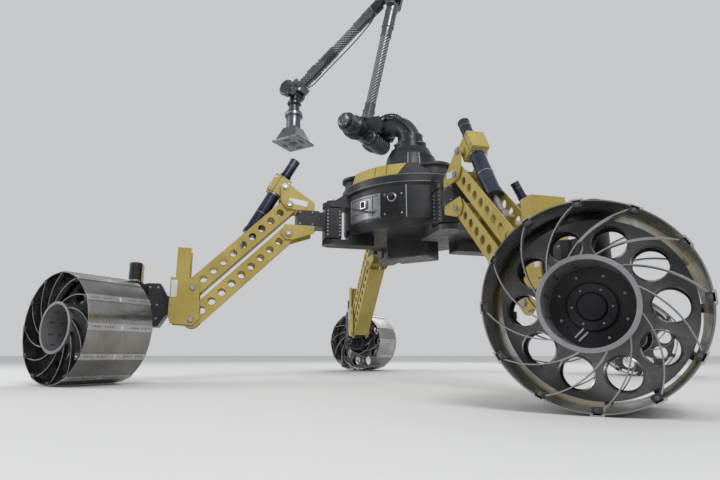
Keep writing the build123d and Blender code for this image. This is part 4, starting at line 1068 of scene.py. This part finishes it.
def dress_upper_arm():
    """Collars, sleeve screws and pin caps of the upper arm."""
    piece = Piece("upper_arm_trim", "upper_arm", "arm_black")
    tube = placed(pin("arm_shoulder"), (0, 1, 0), UP_DIR)
    collars = (
        (0.072, 0.005, SLEEVE_R),
        (UPPER_SLEEVE_END - 0.008, 0.010, SLEEVE_R),
        (UPPER_SLEEVE_END + 0.002, 0.036, TUBE_R),
        (UPPER_SLEEVE_END + 0.034, 0.006, TUBE_R + 0.0014),
        (UPPER_TUBE_END - 0.054, 0.006, TUBE_R + 0.0014),
        (UPPER_TUBE_END - 0.052, 0.050, TUBE_R),
        (UPPER_TUBE_END - 0.002, 0.010, SLEEVE_R),
        (UPPER_TUBE_END + 0.090, 0.006, SLEEVE_R),
    )
    add_collars(piece, tube, collars)
    for along in (0.096, UPPER_TUBE_END + 0.030):
        piece.add(cap_screw(0.0026, 0.003), radial(tube @ shift(z=along), 6, SLEEVE_R), SCREW)
    elbow = pin("arm_elbow")
    cap = shape_cap([(0.036, 0.006), (0.031, 0.010), (0.022, 0.010), (0.018, 0.006)], 40)
    for sign in (1, -1):
        face = on_side(elbow, ELBOW_FACE, sign)
        piece.add(cap, face, ARM_METAL)
        piece.add_screws(cap_screw(0.0026, 0.0035), face, 6, 0.0268, 0, 0.0095)
    piece.make()


def dress_forearm():
    """Collars, bellows, cable and caps of the forearm and its wrist fork."""
    piece = Piece("forearm_trim", "forearm", "arm_black")
    tube = placed(pin("arm_elbow"), (0, 1, 0), FORE_DIR)
    collars = (
        (0.184, 0.006, SLEEVE_R),
        (FORE_SLEEVE_END - 0.008, 0.010, SLEEVE_R),
        (FORE_SLEEVE_END + 0.002, 0.060, TUBE_R),
        (FORE_SLEEVE_END + 0.058, 0.010, TUBE_R + 0.0020),
        (FORE_RINGS - 0.094, 0.010, TUBE_R + 0.0020),
        (FORE_RINGS + 0.050, 0.056, BELLOWS_R),
        (FORE_RINGS + 0.100, 0.008, BELLOWS_R + 0.0015),
    )
    add_collars(piece, tube, collars)
    folds = [tube @ shift(z=FORE_RINGS - 0.081 + BELLOWS_STEP * k) for k in range(8)]
    piece.add(shape_band(TUBE_R, 0.0060, BELLOWS_R - TUBE_R), folds, SATIN)
    piece.add(cap_screw(0.0026, 0.003), radial(tube @ shift(z=0.212), 6, SLEEVE_R), SCREW)
    cord = [(0.0, 0.032, 0.192), (0.0, 0.046, 0.230), (0.002, 0.056, 0.320), (0.004, 0.057, 0.440)]
    cord += [(0.010, 0.050, FORE_RINGS - 0.030), (0.018, 0.042, 0.640), (0.020, 0.040, 0.700)]
    cord += [(0.014, 0.034, 0.738), (0.010, 0.028, 0.758)]
    piece.add(shape_tube(smooth_line(cord), CORD_R), tube, RUBBER)
    wrist = pin("wrist_pitch")
    near = on_side(wrist, WRIST_CAP_FACE, -1)
    disc = [(0.044, 0.002), (0.036, 0.004), (0.033, 0.002), (0.014, 0.002), (0.012, 0.005)]
    piece.add(shape_cap(disc, 44), near, SATIN)
    piece.add_screws(cap_screw(0.0026, 0.003), near, 8, 0.040, 22.5, 0.002)
    piece.add(shape_band(WRIST_CAP_R, 0.004, 0.001), near @ shift(z=-0.006), ARM_METAL)
    far = on_side(wrist, WRIST_FACE, 1)
    piece.add(shape_cap([(0.026, 0.004), (0.020, 0.007)], 36), far, ARM_METAL)
    piece.make()


def dress_wrist():
    """Rings and screws of the wrist's neck."""
    piece = Piece("wrist_trim", "wrist", "arm_black")
    wrist = pin("wrist_pitch")
    rings = [Matrix.Translation(wrist - Vector((0, 0, down))) for down in (0.092, 0.100, 0.108)]
    piece.add(shape_band(NECK_R, 0.004, 0.0016), rings, ARM_METAL)
    collar = Matrix.Translation(wrist - Vector((0, 0, 0.068)))
    piece.add(cap_screw(0.0024, 0.003), radial(collar, 8, NECK_R + 0.010), SCREW)
    piece.make()


def dress_end_plate():
    """Boss, screws and pads under the square end plate, and bands on the tool above it."""
    piece = Piece("end_plate_trim", "end_plate", "arm_black")
    low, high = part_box("arm_plate")
    middle = (low + high) / 2
    under = placed((middle.x, middle.y, low.z), (1, 0, 0), (0, 0, -1))
    piece.add(shape_cap([(0.024, 0.002), (0.018, 0.003), (0.012, 0.002)], 32), under, SATIN)
    piece.add_screws(cap_screw(0.0028, 0.003), under, 4, 0.036, 45)
    pad = shape_pad(0.040, 0.016, 0.003, 0.0018, 0.0005)
    piece.add(pad, [under @ place @ turned(90) for place in around(4, 0.058)], SATIN)
    ring = shift(middle.x, middle.y, high.z - TOOL_RING_H)
    piece.add(shape_band(TOOL_RING_R, 0.005, 0.0014), ring @ shift(z=0.0075), SCREW)
    screws = [ring @ place @ turned(180, "X") for place in around(8, 0.048)]
    piece.add(cap_screw(0.0024, 0.003), screws, SCREW)
    bands = [shift(middle.x, middle.y, high.z - down) for down in (0.030, 0.040)]
    piece.add(shape_band(TOOL_BODY_R, 0.004, 0.0014), bands, ARM_METAL)
    piece.make()


def build_camera():
    """The photograph's view: low, near the floor, looking up a little."""
    data = bpy.data.cameras.new("camera")
    data.lens = LENS
    data.sensor_width = 36.0
    camera = new_object("camera", data)
    camera.location = CAMERA_AT
    camera.rotation_euler = (radians(90 + CAMERA_UP), 0, radians(CAMERA_TURN))
    bpy.context.scene.camera = camera


def area_light(name, place, target, size, power):
    """A soft rectangular lamp that looks at its target."""
    data = bpy.data.lights.new(name, "AREA")
    data.shape = "RECTANGLE"
    data.size, data.size_y = size
    data.energy = power
    lamp = new_object(name, data)
    lamp.location = place
    lamp.rotation_euler = (Vector(target) - Vector(place)).to_track_quat("-Z", "Y").to_euler()


def build_stage():
    """A pale floor, an even world and soft lights."""
    reach = 60.0
    corners = [(x * reach, y * reach, 0) for x, y in ((-1, -1), (1, -1), (1, 1), (-1, 1))]
    mesh = bpy.data.meshes.new("floor")
    mesh.from_pydata(corners, [], [(0, 1, 2, 3)])
    mesh.materials.append(Shader("floor_pale", (0.74, 0.74, 0.73), 0.0, 0.8).material)
    new_object("floor", mesh)
    world = bpy.data.worlds.new("studio")
    world.use_nodes = True
    background = world.node_tree.nodes["Background"]
    background.inputs["Color"].default_value = (0.76, 0.77, 0.79, 1)
    background.inputs["Strength"].default_value = 0.75
    bpy.context.scene.world = world
    area_light("key", (3.2, -3.6, 4.2), (0, 0, 0.6), (2.4, 2.4), 125)
    area_light("fill", (-4.0, -2.6, 2.2), (0, 0, 0.6), (2.6, 2.0), 55)
    area_light("rim", (-1.5, 4.5, 3.6), (0, 0, 0.9), (4.0, 3.0), 60)


dress_nodes()
dress_body()
dress_turret()
dress_shoulder()
dress_upper_arm()
dress_forearm()
dress_wrist()
dress_end_plate()
for leg_name in LEG_NAMES:
    one = Leg(leg_name)
    dress_swivel(one)
    dress_bars(one)
    dress_knee(one)
    dress_actuator(one)
    dress_steering(one)
    dress_wheel(one)
build_stage()
build_camera()
bpy.context.scene.view_settings.view_transform = "Standard"
